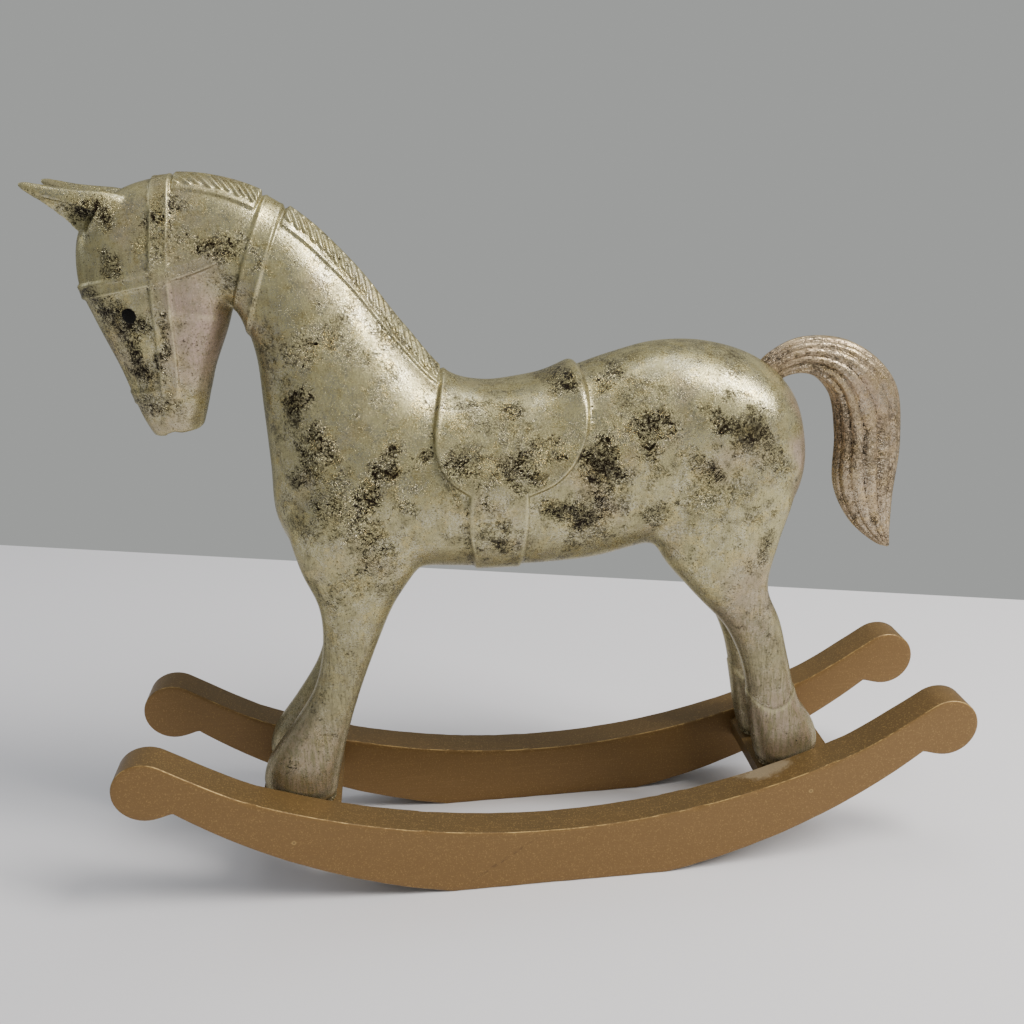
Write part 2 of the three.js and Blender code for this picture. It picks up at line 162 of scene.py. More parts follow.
def into(points: Array, outline: Array) -> Array:
    """Distance into a closed outline in the side view: positive inside, negative outside.

    Args:
        points: N x 2.
        outline: M x 2, closed by the last point meeting the first.

    Returns:
        N signed distances.
    """
    ring = np.vstack([outline, outline[:1]])
    inside = np.zeros(len(points), bool)
    x, z = points[:, 0], points[:, 1]
    for (ax, az), (bx, bz) in zip(ring[:-1], ring[1:]):
        if az == bz:
            continue
        crosses = (az > z) != (bz > z)
        inside ^= crosses & (x < ax + (z - az) * (bx - ax) / (bz - az))
    return np.where(inside, 1.0, -1.0) * off_line(points, ring)


def only(obj: Mesh) -> None:
    """Selects obj and nothing else, because an operator acts on all that is selected."""
    bpy.ops.object.select_all(action="DESELECT")
    obj.select_set(True)
    bpy.context.view_layer.objects.active = obj


def apply_modifier(obj: Mesh, kind: str, **settings: object) -> None:
    """Adds one modifier with its settings and applies it.

    Args:
        obj: The piece.
        kind: The modifier's type.
        **settings: Its properties by name.
    """
    only(obj)
    modifier = obj.modifiers.new(kind.lower(), kind)
    for name, value in settings.items():
        setattr(modifier, name, value)
    bpy.ops.object.modifier_apply(modifier=modifier.name)


def edit(obj: Mesh, *steps: tuple, faces: Array | None = None) -> None:
    """Runs edit-mode operators on obj.

    Args:
        obj: The piece.
        *steps: Pairs of an operator and its settings.
        faces: True for each face to act on; left out, they act on everything.
    """
    only(obj)
    bpy.ops.object.mode_set(mode="EDIT")
    if faces is None:
        bpy.ops.mesh.select_all(action="SELECT")
    else:
        bpy.context.tool_settings.mesh_select_mode = (False, False, True)
        bpy.ops.mesh.select_all(action="DESELECT")
        bpy.ops.object.mode_set(mode="OBJECT")
        obj.data.polygons.foreach_set("select", faces)
        bpy.ops.object.mode_set(mode="EDIT")
    for operator, settings in steps:
        operator(**settings)
    bpy.ops.object.mode_set(mode="OBJECT")


def join(name: str, parts: list[Mesh]) -> Mesh:
    """Joins parts into the first of them under a new name."""
    only(parts[0])
    for part in parts:
        part.select_set(True)
    bpy.ops.object.join()
    parts[0].name = parts[0].data.name = name
    return parts[0]


def places(obj: Mesh) -> Array:
    """The vertices of obj in millimetres."""
    flat = np.empty(len(obj.data.vertices) * 3)
    obj.data.vertices.foreach_get("co", flat)
    return flat.reshape(-1, 3) / MM


def move_to(obj: Mesh, points: Array) -> None:
    """Puts the vertices of obj at points, in millimetres."""
    obj.data.vertices.foreach_set("co", (points * MM).ravel())
    obj.data.update()


def normals(obj: Mesh) -> Array:
    """The vertex normals of obj."""
    flat = np.empty(len(obj.data.vertices) * 3, np.float32)
    obj.data.vertex_normals.foreach_get("vector", flat)
    return flat.reshape(-1, 3).astype(float)


def skin(name: str, rings: Array, turned: bool = False) -> Mesh:
    """A closed skin over rings, with a fan at each end.

    Args:
        name: The mesh's name.
        rings: R x N x 3, in millimetres, left-handed about their direction of travel.
        turned: True for rings that turn the other way.

    Returns:
        The new object.
    """
    count, around = rings.shape[:2]
    points = np.vstack([rings.reshape(-1, 3), rings[0].mean(0), rings[-1].mean(0)])
    a = np.arange((count - 1) * around)
    b = a - a % around + (a + 1) % around
    quads = np.stack([a, b, b + around, a + around], 1)
    rim = np.arange(around)
    after = (rim + 1) % around
    last = (count - 1) * around
    first_fan = np.stack([after, rim, np.full(around, count * around)], 1)
    last_fan = np.stack([last + rim, last + after, np.full(around, count * around + 1)], 1)
    faces = [face for block in (quads, first_fan, last_fan) for face in block.tolist()]
    if turned:
        faces = [face[::-1] for face in faces]
    mesh = bpy.data.meshes.new(name)
    mesh.from_pydata((points * MM).tolist(), [], faces)
    mesh.update()
    obj = bpy.data.objects.new(name, mesh)
    bpy.context.scene.collection.objects.link(obj)
    return obj


def hollowness(obj: Mesh, rounds: int) -> Array:
    """How far each vertex lies below the mean of its surroundings, in millimetres.

    Args:
        obj: The finished piece.
        rounds: How many edges out the surroundings reach.

    Returns:
        One value for each vertex: positive in a hollow, negative on a ridge.
    """
    points = places(obj)
    ends = np.empty(len(obj.data.edges) * 2, np.int64)
    obj.data.edges.foreach_get("vertices", ends)
    ends = ends.reshape(-1, 2)
    degree = np.maximum(np.bincount(ends.ravel(), minlength=len(points)), 1)[:, None]
    mean = points
    for _ in range(rounds):
        total = np.zeros_like(points)
        for k in range(3):
            total[:, k] = np.bincount(ends[:, 0], mean[ends[:, 1], k], len(points))
            total[:, k] += np.bincount(ends[:, 1], mean[ends[:, 0], k], len(points))
        mean = 0.5 * mean + 0.5 * total / degree
    return np.einsum("ij,ij->i", mean - points, normals(obj))


def store(obj: Mesh, name: str, values: Array) -> None:
    """Keeps one number for each vertex, for a material to read."""
    attribute = obj.data.attributes.new(name, "FLOAT", "POINT")
    attribute.data.foreach_set("value", values.astype(np.float32))


def hand_over(piece: Mesh, slot: str, *nodes: str) -> None:
    """Hangs a finished piece on the body it rides on, hides the solids that it stands for and logs its
    triangles.

    Args:
        piece: The finished piece, with its place in its mesh.
        slot: Not used.
        *nodes: The solids that it stands for.
    """
    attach(piece, BODY)
    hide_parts(*nodes)
    LOG.info("%s: %d triangles", piece.name, sum(len(p.vertices) - 2 for p in piece.data.polygons))


# Finishes


def linear(code: str) -> tuple[float, float, float, float]:
    """An sRGB hex colour as the linear one that shaders take."""
    parts = (int(code[k : k + 2], 16) / 255 for k in (1, 3, 5))
    red, green, blue = (c / 12.92 if c <= 0.04045 else ((c + 0.055) / 1.055) ** 2.4 for c in parts)
    return red, green, blue, 1.0


class Graph:
    """The nodes of a new material, with short names for the kinds that a finish repeats."""

    def __init__(self, name: str, shift: float = 0.0) -> None:
        """Starts with a shader, its output and the object's own coordinates.

        Args:
            name: The finish.
            shift: From the drawing's middle to the model's, in mm.
        """
        self.material = bpy.data.materials.new(name)
        self.material.use_nodes = True
        self.tree = self.material.node_tree
        self.tree.nodes.clear()
        self.shift = shift
        self.shader = self.add("ShaderNodeBsdfPrincipled")
        self.add("ShaderNodeOutputMaterial", {"Surface": self.shader.outputs[0]})
        self.coords = self.add("ShaderNodeTexCoord")
        self.place = self.coords.outputs["Object"]

    def add(self, kind: str, sockets: dict | None = None, **settings: object) -> bpy.types.Node:
        """Adds one node.

        Args:
            kind: The node's type.
            sockets: Values or other nodes' outputs, by input name or number.
            **settings: The node's properties.

        Returns:
            The node.
        """
        node = self.tree.nodes.new(kind)
        for name, value in settings.items():
            setattr(node, name, value)
        for key, value in (sockets or {}).items():
            if isinstance(value, Socket):
                self.tree.links.new(value, node.inputs[key])
            else:
                node.inputs[key].default_value = value
        return node

    def stored(self, name: str) -> Socket:
        """A number kept for each vertex, or 0 where the mesh has none of that name."""
        return self.add("ShaderNodeAttribute", attribute_name=name).outputs["Fac"]

    def maths(self, operation: str, *terms: object) -> Socket:
        """One sum of up to three terms."""
        return self.add("ShaderNodeMath", dict(enumerate(terms)), operation=operation).outputs[0]

    def times(self, first: object, second: object, plus: object = 0.0) -> Socket:
        """A product, with plus added to it."""
        return self.maths("MULTIPLY_ADD", first, second, plus)

    def rest(self, share: object) -> Socket:
        """What a share leaves of 1."""
        return self.maths("SUBTRACT", 1.0, share)

    def most(self, first: object, second: object) -> Socket:
        """The larger of two."""
        return self.maths("MAXIMUM", first, second)

    def ease(self, value: object, low: float, high: float) -> Socket:
        """Smoothstep from 0 at low to 1 at high."""
        return self.add("ShaderNodeMapRange", {"Value": value, "From Min": low, "From Max": high},
                        interpolation_type="SMOOTHSTEP").outputs[0]

    def blend(self, share: object, first: object, second: object) -> Socket:
        """A mix of two colours, each of them an output or a hex code."""
        first, second = (linear(c) if isinstance(c, str) else c for c in (first, second))
        return self.add("ShaderNodeMix", {0: share, 6: first, 7: second}, data_type="RGBA").outputs[2]

    def noise(self, size: float, detail: float, rough: float, warp: float = 0.0) -> Socket:
        """A noise with features about size mm across."""
        return self.add("ShaderNodeTexNoise", {
            "Vector": self.place, "Scale": 1.0 / (size * MM), "Detail": detail, "Roughness": rough,
            "Distortion": warp,
        }).outputs["Fac"]

    def measured(self, size: Sizes, turn: float = 0.0, centre: Sizes | None = None) -> Socket:
        """Places in units of size, in mm, along axes turned front end up.

        Args:
            size: Unit along x, y and z.
            turn: In degrees.
            centre: The zero, in the drawing; the model's own if left out.

        Returns:
            The coordinates.
        """
        zero = (0.0, 0.0, 0.0) if centre is None else (centre[0] + self.shift, *centre[1:])
        return self.add("ShaderNodeMapping", {
            "Vector": self.place, "Location": tuple(c * MM for c in zero),
            "Rotation": (0.0, math.radians(turn), 0.0), "Scale": tuple(s * MM for s in size),
        }, vector_type="TEXTURE").outputs[0]

    def grained(self, size: Sizes, detail: float, rough: float, warp: float = 0.0,
                turn: float = 0.0) -> Socket:
        """A noise whose features have their own size along x, y and z, in mm."""
        return self.add("ShaderNodeTexNoise", {
            "Vector": self.measured(size, turn), "Scale": 1.0, "Detail": detail, "Roughness": rough,
            "Distortion": warp,
        }).outputs["Fac"]

    def away(self, centre: Sizes, size: Sizes, turn: float = 0.0) -> Socket:
        """Distance from a place in the drawing, in sizes."""
        return self.add("ShaderNodeVectorMath", {0: self.measured(size, turn, centre)},
                        operation="LENGTH").outputs["Value"]

    def finish(self, colour: Socket, rough: Socket, relief: Socket, strength: float, depth: float) -> None:
        """Links a coat to the shader.

        Args:
            colour: Base colour.
            rough: Roughness.
            relief: Height of the bump, 0 to 1.
            strength: How strongly it shows.
            depth: Its full height, in mm.
        """
        bump = self.add("ShaderNodeBump", {"Height": relief, "Strength": strength, "Distance": depth * MM})
        for name, value in (("Base Color", colour), ("Roughness", rough), ("Normal", bump.outputs[0])):
            self.tree.links.new(value, self.shader.inputs[name])


def dress(obj: Mesh, material: bpy.types.Material) -> None:
    """Gives obj one material."""
    obj.data.materials.clear()
    obj.data.materials.append(material)


def patched(patches: Rows, points: Array) -> Array:
    """How far points are inside patches of the left side, whose outlines are shaken.

    Args:
        patches: Rows of centre x and z, half sizes, degrees turned front end up, and strength.
        points: N x 3, in the drawing's millimetres.

    Returns:
        The highest strength at each point: full at a patch's middle and 0 beyond its edge.
    """
    x, y, z = points.T
    shaken_x = x + 2.2 * np.sin(z / 4.3 + 1.1 + y / 9) + 1.6 * np.sin((x + z) / 2.9 + 0.4)
    shaken_z = z + 2.2 * np.sin(x / 4.9 + 2.3 - y / 11) + 1.6 * np.sin((x - z) / 3.3 + 1.9)
    deep = (y - PATCH_SIDE) / PATCH_DEPTH
    best = np.zeros(len(points))
    for middle_x, middle_z, half_x, half_z, degrees, strength in patches:
        cos, sin = math.cos(math.radians(degrees)), math.sin(math.radians(degrees))
        dx, dz = shaken_x - middle_x, shaken_z - middle_z
        along, across = (dx * cos - dz * sin) / half_x, (dx * sin + dz * cos) / half_z
        far = np.sqrt(along**2 + across**2 + deep**2)
        best = np.maximum(best, strength * (1 - smoothstep(far, *PATCH_FADE)))
    return best


@dataclass(frozen=True)
class ChampagnePaint:
    """Champagne pearl paint with gilding flakes on carved wood, scratched back to the dark brown under it.

    Flakes of leaf lie in a satin coat: they flash gold or silver in the light and go dark out of it, which
    gives the grain. Fine curling scratches, dense in worn patches, show the brown ground. Rounded ridges are
    painted pale, partly wear and partly painted highlight; cuts and legs get painted shade. Sizes are in mm.
    """

    name: str = "champagne_pearl_paint"
    champagne: str = "#aca57c"
    mottle_and_shade: str = "#7f785c"
    rose: str = "#ad988a"
    gold: str = "#efd07c"
    silver: str = "#dddbd0"
    brown: str = "#150e07"
    black: str = "#050505"
    pale_ridge_highlight_and_wear: str = "#cfc79b"
    rim: str = "#b3ae9c"  # keeps the metal from going white where it turns away
    roughness: float = 0.28
    flake: float = 0.62
    flake_cover: float = 0.65
    scribble: float = 3.4  # from one dark curl to the next
    streak: float = 0.9  # between brush streaks
    streak_length: float = 13.0
    # Below these heights the legs are also darkened towards the dark tone: painted shade.
    legs: tuple[float, float] = (150.0, 105.0)  # heights between which the sounder, streaked legs begin
    rub_everywhere: float = 0.0
    shade_in_hollows: float = 0.1  # painted shade: how much more dark brown is painted at the bottom of a cut
    eye: Sizes | None = None  # its x and z and half sizes

    def build(self, shift: float) -> bpy.types.Material:
        """Makes the material.

        Args:
            shift: From the drawing's middle to the model's, in mm.

        Returns:
            The material.
        """
        graph = Graph(self.name, shift)
        maths, times, rest, ease, blend = graph.maths, graph.times, graph.rest, graph.ease, graph.blend
        hollow, fresh = graph.stored("hollow"), graph.stored("fresh")
        height = graph.add("ShaderNodeSeparateXYZ", {0: graph.place}).outputs["Z"]
        leg = ease(height, *(z * MM for z in self.legs))
        sound = graph.most(times(leg, 0.65), times(fresh, 0.9))
        speck, dust = graph.noise(1.5, 5.0, 0.85), graph.noise(0.8, 3.0, 0.7)
        streaks = graph.grained((self.streak, self.streak, self.streak_length), 3.0, 0.65)
        coat, flakes = self.coat(graph, fresh, leg, sound, streaks)

        # Rounded edges are painted pale: partly polish wear, partly a painted highlight.
        proud = ease(times(hollow, -1.0), 0.2, 0.75)
        coat = blend(times(proud, 0.3), coat, self.pale_ridge_highlight_and_wear)
        rubbed = self.scratches(graph, hollow, sound, speck, dust)
        rubbed = times(rubbed, times(proud, -0.6, 1.0))
        colour = blend(rubbed, coat, self.brown)
        metallic = times(rest(rubbed), times(flakes, 0.6, 0.6))
        rough = times(flakes, -0.2, times(speck, 0.14, self.roughness - 0.07))
        rough = times(rubbed, 0.2, rough)
        if self.eye:
            x, z, half_x, half_z = self.eye
            far = graph.away((x, 0.0, z), (half_x, THROUGH, half_z))
            pupil = ease(times(speck, 0.3, far), 1.06, 0.98)
            around = rest(pupil)
            colour = blend(pupil, colour, self.black)
            metallic = times(metallic, around)
            rough = times(pupil, 0.14, times(rough, around))

        relief = times(dust, 0.9, times(streaks, 0.35))
        graph.finish(colour, rough, maths("SUBTRACT", relief, times(rubbed, 0.4)), 0.8, 0.16)
        graph.tree.links.new(metallic, graph.shader.inputs["Metallic"])
        constants = {"Specular IOR Level": 0.15, "Specular Tint": linear(self.rim), "Coat Weight": 0.06,
                     "Coat Roughness": 0.2}
        for name, value in constants.items():
            graph.shader.inputs[name].default_value = value
        return graph.material

    def scratches(self, graph: Graph, hollow: Socket, sound: Socket, speck: Socket, dust: Socket) -> Socket:
        """Where the brown ground shows: in drifting clouds of scratches and in the bare patches; and dark
        brown at the bottom of cuts, which is painted shade.

        Args:
            graph: The material's nodes.
            hollow: How deep in a cut a point lies.
            sound: Where the coat has held.
            speck: A fine noise.
            dust: A finer one.

        Returns:
            The share of the coat that is gone, with the painted shade in cuts.
        """
        maths, times, rest, most, ease, noise = (
            graph.maths, graph.times, graph.rest, graph.most, graph.ease, graph.noise)

        def hair(size: float, width: float, warp: float, stretch: Sizes, turn: float) -> Socket:
            """Thin curling lines: where a stretched noise of that size crosses its middle value."""
            value = graph.grained(tuple(size * k for k in stretch), 3.0, 0.6, warp, turn)
            off = maths("ABSOLUTE", maths("SUBTRACT", value, 0.5))
            return rest(ease(off, width * 0.35, width))

        drift = ease(noise(24.0, 4.0, 0.62), 0.42, 0.68)
        ragged = times(noise(11.0, 4.0, 0.65), 3.0, -0.5)
        bare = most(times(ease(noise(17.0, 4.0, 0.6), 0.56, 0.72), 0.62),
                    times(graph.stored("bare"), ragged))
        wear = maths("ADD", most(times(drift, 0.5), bare), self.rub_everywhere)
        wear = times(wear, rest(sound))
        bare = times(maths("MINIMUM", bare, 1.0), times(sound, -0.6, 1.0))

        curls = most(hair(4.6, 0.03, 1.5, (1.0, 1.0, 1.0), 0.0),
                     hair(3.1, 0.03, 0.6, (1.0, 0.5, 0.34), 35.0))
        pale = most(hair(5.2, 0.085, 0.8, (0.8, 0.5, 0.3), -48.0),
                    hair(4.4, 0.075, 1.8, (1.0, 0.6, 0.5), 20.0))
        grain = times(noise(self.scribble, 6.0, 0.78, 1.2), 0.55, times(speck, 0.45))
        # Deep cuts are given more dark brown: painted shade.
        hollow_shade = ease(hollow, 0.35, 1.0)
        deep = times(hollow_shade, self.shade_in_hollows, times(bare, 0.19, grain))
        core = ease(maths("SUBTRACT", deep, times(pale, 0.11)), 0.572, 0.596)
        lines = times(curls, ease(times(wear, 0.5, grain), 0.56, 0.74))
        fleck = ease(times(wear, 0.13, dust), 0.595, 0.65)
        return most(core, most(times(lines, 0.9), times(fleck, 0.75)))

    def coat(self, graph: Graph, fresh: Socket, leg: Socket, sound: Socket,
             streaks: Socket) -> tuple[Socket, Socket]:
        """The coat's colour: champagne going to rose, mottled and brushed, with painted shade on the legs
        and flakes of leaf in it.

        Args:
            graph: The material's nodes.
            fresh: Where the rosy patches are.
            leg: 1 on the legs.
            sound: Where the coat has held, and few flakes lie.
            streaks: The brush's streaks.

        Returns:
            The colour, and the cover of the flakes, which are bright and smooth.
        """
        times, ease, blend, noise = graph.times, graph.ease, graph.blend, graph.noise
        rosy = graph.most(fresh, times(ease(noise(26.0, 3.0, 0.55), 0.5, 0.8), 0.5))
        coat = blend(rosy, self.champagne, self.rose)
        coat = blend(times(ease(noise(6.0, 5.0, 0.75), 0.4, 0.66), 0.55), coat, self.mottle_and_shade)
        combing = times(leg, 0.35, 0.35)
        # On the legs the coat is darkened further: painted shade, on top of the brush streaks.
        coat = blend(times(ease(streaks, 0.46, 0.62), combing, times(leg, 0.45)), coat, self.mottle_and_shade)

        flakes = times(ease(noise(self.flake, 2.0, 0.6), 0.46, 0.56), ease(noise(9.0, 3.0, 0.6), 0.3, 0.6))
        flakes = times(flakes, times(graph.rest(times(sound, 0.85)), self.flake_cover))
        leaf = blend(ease(noise(8.0, 4.0, 0.7), 0.46, 0.58), self.silver, self.gold)
        return blend(flakes, coat, blend(0.62, leaf, coat)), flakes


@dataclass(frozen=True)
class GoldBoardPaint:
    """Old-gold satin paint, brushed on sawn boards: a soft sheen, fine glints, and paler edges, partly wear
    and partly painted highlight.

    Along the left board are a smear of dried glue on top, and on its side nail heads and a faint scuff.
    Places are in the drawing, and sizes in mm.
    """

    name: str = "old_gold_board_paint"
    side: str = "#775b33"
    top: str = "#5f4b2b"
    cloudy: str = "#75582f"
    brushed: str = "#93754a"
    glinting: str = "#b8975a"
    edge: str = "#c3a466"
    glue: str = "#b9ac93"
    hole: str = "#2c2013"
    metallic: float = 0.35
    roughness: float = 0.5
    brush: tuple[float, float, float] = (26.0, 0.9, 0.9)
    left_side: float = -43.0
    glue_at: tuple[float, float, float] = (104.0, -29.0, 43.0)
    glue_size: tuple[float, float, float] = (19.0, 9.0, 11.0)
    nails: Rows = ((-122.7, 35.3), (120.3, 39.4))
    nail_radius: float = 0.9
    mark_depth: float = 4.0
    scuff: Sizes = (-27.0, 15.7, 21.5, 0.8, -33.9)  # x and z, half sizes, and degrees front end up

    def build(self, shift: float) -> bpy.types.Material:
        """Makes the material.

        Args:
            shift: From the drawing's middle to the model's, in mm.

        Returns:
            The material.
        """
        graph = Graph(self.name, shift)
        maths, times, rest, ease, blend, grained = (
            graph.maths, graph.times, graph.rest, graph.ease, graph.blend, graph.grained)
        facing = graph.add("ShaderNodeSeparateXYZ", {0: graph.coords.outputs["Normal"]})
        parts = graph.add("ShaderNodeSeparateXYZ", {0: graph.place})
        sideways = maths("ABSOLUTE", facing.outputs["Y"])
        glint, brush = grained((0.7, 0.7, 0.7), 1.0, 0.5), grained(self.brush, 3.0, 0.6)
        coat = blend(ease(sideways, 0.5, 0.85), self.top, self.side)
        coat = blend(times(ease(grained((60.0, 40.0, 24.0), 3.0, 0.6), 0.35, 0.7), 0.3), coat, self.cloudy)
        coat = blend(times(ease(brush, 0.5, 0.75), 0.25), coat, self.brushed)
        coat = blend(times(ease(glint, 0.58, 0.7), 0.3), coat, self.glinting)

        # Paler edges: partly wear and partly a painted highlight where the light catches them.
        on_edge = times(ease(sideways, 0.3, 0.5), rest(ease(sideways, 0.75, 0.9)))
        edge_highlight_and_wear = times(on_edge, ease(grained((7.0, 4.0, 4.0), 4.0, 0.7), 0.42, 0.6))
        coat = blend(times(edge_highlight_and_wear, 0.6), coat, self.edge)
        left = ease(times(parts.outputs["Y"], -1.0), 20 * MM, 24 * MM)
        smear = graph.away(self.glue_at, self.glue_size)
        ragged = times(grained((5.0, 3.0, 3.0), 4.0, 0.7), 1.3, smear)
        dried = times(left, rest(ease(ragged, 1.1, 1.6)))
        coat = blend(times(dried, 0.4), coat, self.glue)
        for x, z in self.nails:
            head = graph.away((x, self.left_side, z), (self.nail_radius, self.mark_depth, self.nail_radius))
            coat = blend(times(ease(head, 1.6, 0.8), 0.4), coat, self.edge)
            coat = blend(times(ease(head, 0.8, 0.3), 0.5), coat, self.hole)
        x, z, half_length, half_width, turn = self.scuff
        mark = graph.away((x, self.left_side, z), (half_length, self.mark_depth, half_width), turn)
        mark = times(ease(mark, 1.2, 0.5), ease(grained((3.0, 3.0, 2.0), 3.0, 0.6), 0.4, 0.62))
        coat = blend(times(mark, 0.4), coat, self.hole)

        rough = times(brush, 0.16, self.roughness - 0.08)
        graph.finish(coat, rough, times(brush, 0.7, times(glint, 0.3)), 0.5, 0.12)
        graph.shader.inputs["Metallic"].default_value = self.metallic
        return graph.material


@dataclass(frozen=True)
class ClothFloor:
    """Plain white cotton sheet: matt, with a faint unevenness."""

    name: str = "white_cotton_sheet"
    colour: str = "#d9d8dd"
    cloud: str = "#d9d9de"
    cloud_scale: float = 7.0  # clouds to a metre
    roughness: float = 0.95

    def build(self) -> bpy.types.Material:
        """Makes the material."""
        graph = Graph(self.name)
        cloud = graph.add("ShaderNodeTexNoise", {
            "Vector": graph.place, "Scale": self.cloud_scale, "Detail": 3.0})
        tone = graph.blend(cloud.outputs["Fac"], self.colour, self.cloud)
        graph.tree.links.new(tone, graph.shader.inputs["Base Color"])
        graph.shader.inputs["Roughness"].default_value = self.roughness
        return graph.material


# Rockers and crossbars


@dataclass
class Underframe:
    """Two bowed boards with a knob at each end, and the two slats between them."""

    length: float = 399.4
    thickness: float = 16.5
    gauge: float = 53.4
    waist: float = 29.8
    top_radius: float = 365.0
    sole_radius: float = 281.0
    sole_flat: float = 103.0
    knob_radius: float = 14.4
    notch_setback: float = 11.2
    knob_lift: float = 12.1
    bow_blend: float = 45.6
    knob_shoulder: float = math.radians(32)
    eased_edge: float = 0.8
    rub: float = 0.16
    dents: int = 9
    dent_depth: float = 0.5
    worn_middle: float = 25.0  # the wear goes down above this height and up below it
    bar_spread: float = 240.0
    bar_width: float = 37.0
    bar_thickness: float = 10.5
    bar_lean: float = math.radians(11)
    bar_drop: float = 7.4
    step: float = 2.0  # between points of a board's outline
    shift: float = 0.0  # from the drawing's middle to the model's
    paint: GoldBoardPaint = GoldBoardPaint()

    def bow_top(self, x: float) -> float:
        """Height of a board's top edge at x."""
        return self.waist + self.top_radius - math.sqrt(self.top_radius**2 - x**2)

    @property
    def bar_x(self) -> float:
        """Distance of a slat from the middle."""
        return self.bar_spread / 2

    @property
    def bar_z(self) -> float:
        """Height of the middle of a slat's top face."""
        return self.bow_top(self.bar_x) - self.bar_drop

    def arc(self, x: float, z: float, radius: float, start: float, end: float) -> Array:
        """Points along an arc, about one step apart."""
        count = max(int(abs(end - start) * radius / self.step), 2)
        turn = np.linspace(start, end, count + 1)
        return np.stack([x + radius * np.cos(turn), z + radius * np.sin(turn)], 1)

    def bezier(self, *corners: tuple[float, float]) -> Array:
        """Points along a cubic curve."""
        a, b, c, d = (np.array(corner) for corner in corners)
        w = np.linspace(0.0, 1.0, 14)[:, None]
        return (1 - w) ** 3 * a + 3 * w * (1 - w) ** 2 * b + 3 * w**2 * (1 - w) * c + w**3 * d

    def outline(self) -> Array:
        """A board's outline in the side view, anticlockwise from the middle of its sole."""
        knob_x = self.length / 2 - self.knob_radius
        sole_centre = math.sqrt(self.sole_radius**2 - (self.sole_flat / 2) ** 2)
        notch_x = knob_x - self.notch_setback
        notch_z = sole_centre - math.sqrt(self.sole_radius**2 - notch_x**2)
        knob_z = notch_z + self.knob_lift
        start, end = math.radians(-100), math.pi / 2 + self.knob_shoulder

        def on_knob(turn: float, along: float) -> tuple[float, float]:
            """A point on the knob's circle, or along its tangent."""
            return (knob_x + self.knob_radius * math.cos(turn) - along * math.sin(turn),
                    knob_z + self.knob_radius * math.sin(turn) + along * math.cos(turn))

        bow_x = knob_x - self.bow_blend
        bow = math.asin(bow_x / self.top_radius)
        easing = self.bow_blend / 4
        sole = (math.asin(x / self.sole_radius) - math.pi / 2 for x in (self.sole_flat / 2, notch_x))
        count = max(int(self.sole_flat / 2 / self.step), 2)
        flat = np.stack([np.linspace(0.0, self.sole_flat / 2, count), np.zeros(count)], 1)
        half = np.vstack([
            flat[:-1],
            self.arc(0.0, sole_centre, self.sole_radius, *sole)[:-1],
            self.bezier((notch_x, notch_z), (notch_x + self.knob_radius / 7, notch_z),
                        on_knob(start, -self.knob_radius / 3), on_knob(start, 0.0))[:-1],
            self.arc(knob_x, knob_z, self.knob_radius, start, end)[:-1],
            self.bezier(on_knob(end, 0.0), on_knob(end, easing),
                        (bow_x + easing * math.cos(bow), self.bow_top(bow_x) + easing * math.sin(bow)),
                        (bow_x, self.bow_top(bow_x)))[:-1],
            self.arc(0.0, self.waist + self.top_radius, self.top_radius, bow - math.pi / 2, -math.pi / 2),
        ])
        return np.vstack([half, (half[1:-1] * (-1, 1))[::-1]])

    def board(self, side: Side) -> Mesh:
        """One rocker: its outline filled, drawn out to its thickness, and its edges eased by hand.

        Args:
            side: Which side of the horse it is on.

        Returns:
            The finished piece.
        """
        outline = self.outline()
        middle = side.value * (self.gauge + self.thickness) / 2
        near = middle + self.thickness / 2
        bpy.ops.object.select_all(action="DESELECT")
        bpy.ops.mesh.primitive_circle_add(vertices=len(outline), radius=MM, fill_type="NOTHING")
        obj = bpy.context.object
        obj.name = obj.data.name = f"rocker_board_{side.name.lower()}"
        ring = np.stack([outline[:, 0] + self.shift, np.full(len(outline), near), outline[:, 1]], 1)
        obj.location = (0.0, 0.0, 0.0)
        move_to(obj, ring)
        edit(obj, (bpy.ops.mesh.edge_face_add, {}),
             (bpy.ops.mesh.extrude_region_move,
              {"TRANSFORM_OT_translate": {"value": (0.0, -self.thickness * MM, 0.0)}}),
             (bpy.ops.mesh.select_all, {"action": "SELECT"}),
             (bpy.ops.mesh.normals_make_consistent, {"inside": False}))
        apply_modifier(obj, "BEVEL", width=self.eased_edge * MM, segments=3, limit_method="ANGLE",
                       angle_limit=math.radians(60))
        # A rim inside each side face, the only ones with many corners, keeps it flat when the edge is worn.
        edit(obj, (bpy.ops.mesh.inset, {"thickness": 2.0 * self.eased_edge * MM, "use_individual": True}),
             faces=np.array([len(face.vertices) > 40 for face in obj.data.polygons]))
        self.wear(obj, side, middle)
        only(obj)
        bpy.ops.object.shade_smooth_by_angle(angle=SMOOTH_ANGLE)
        apply_modifier(obj, "WEIGHTED_NORMAL", keep_sharp=True, weight=100)
        return obj

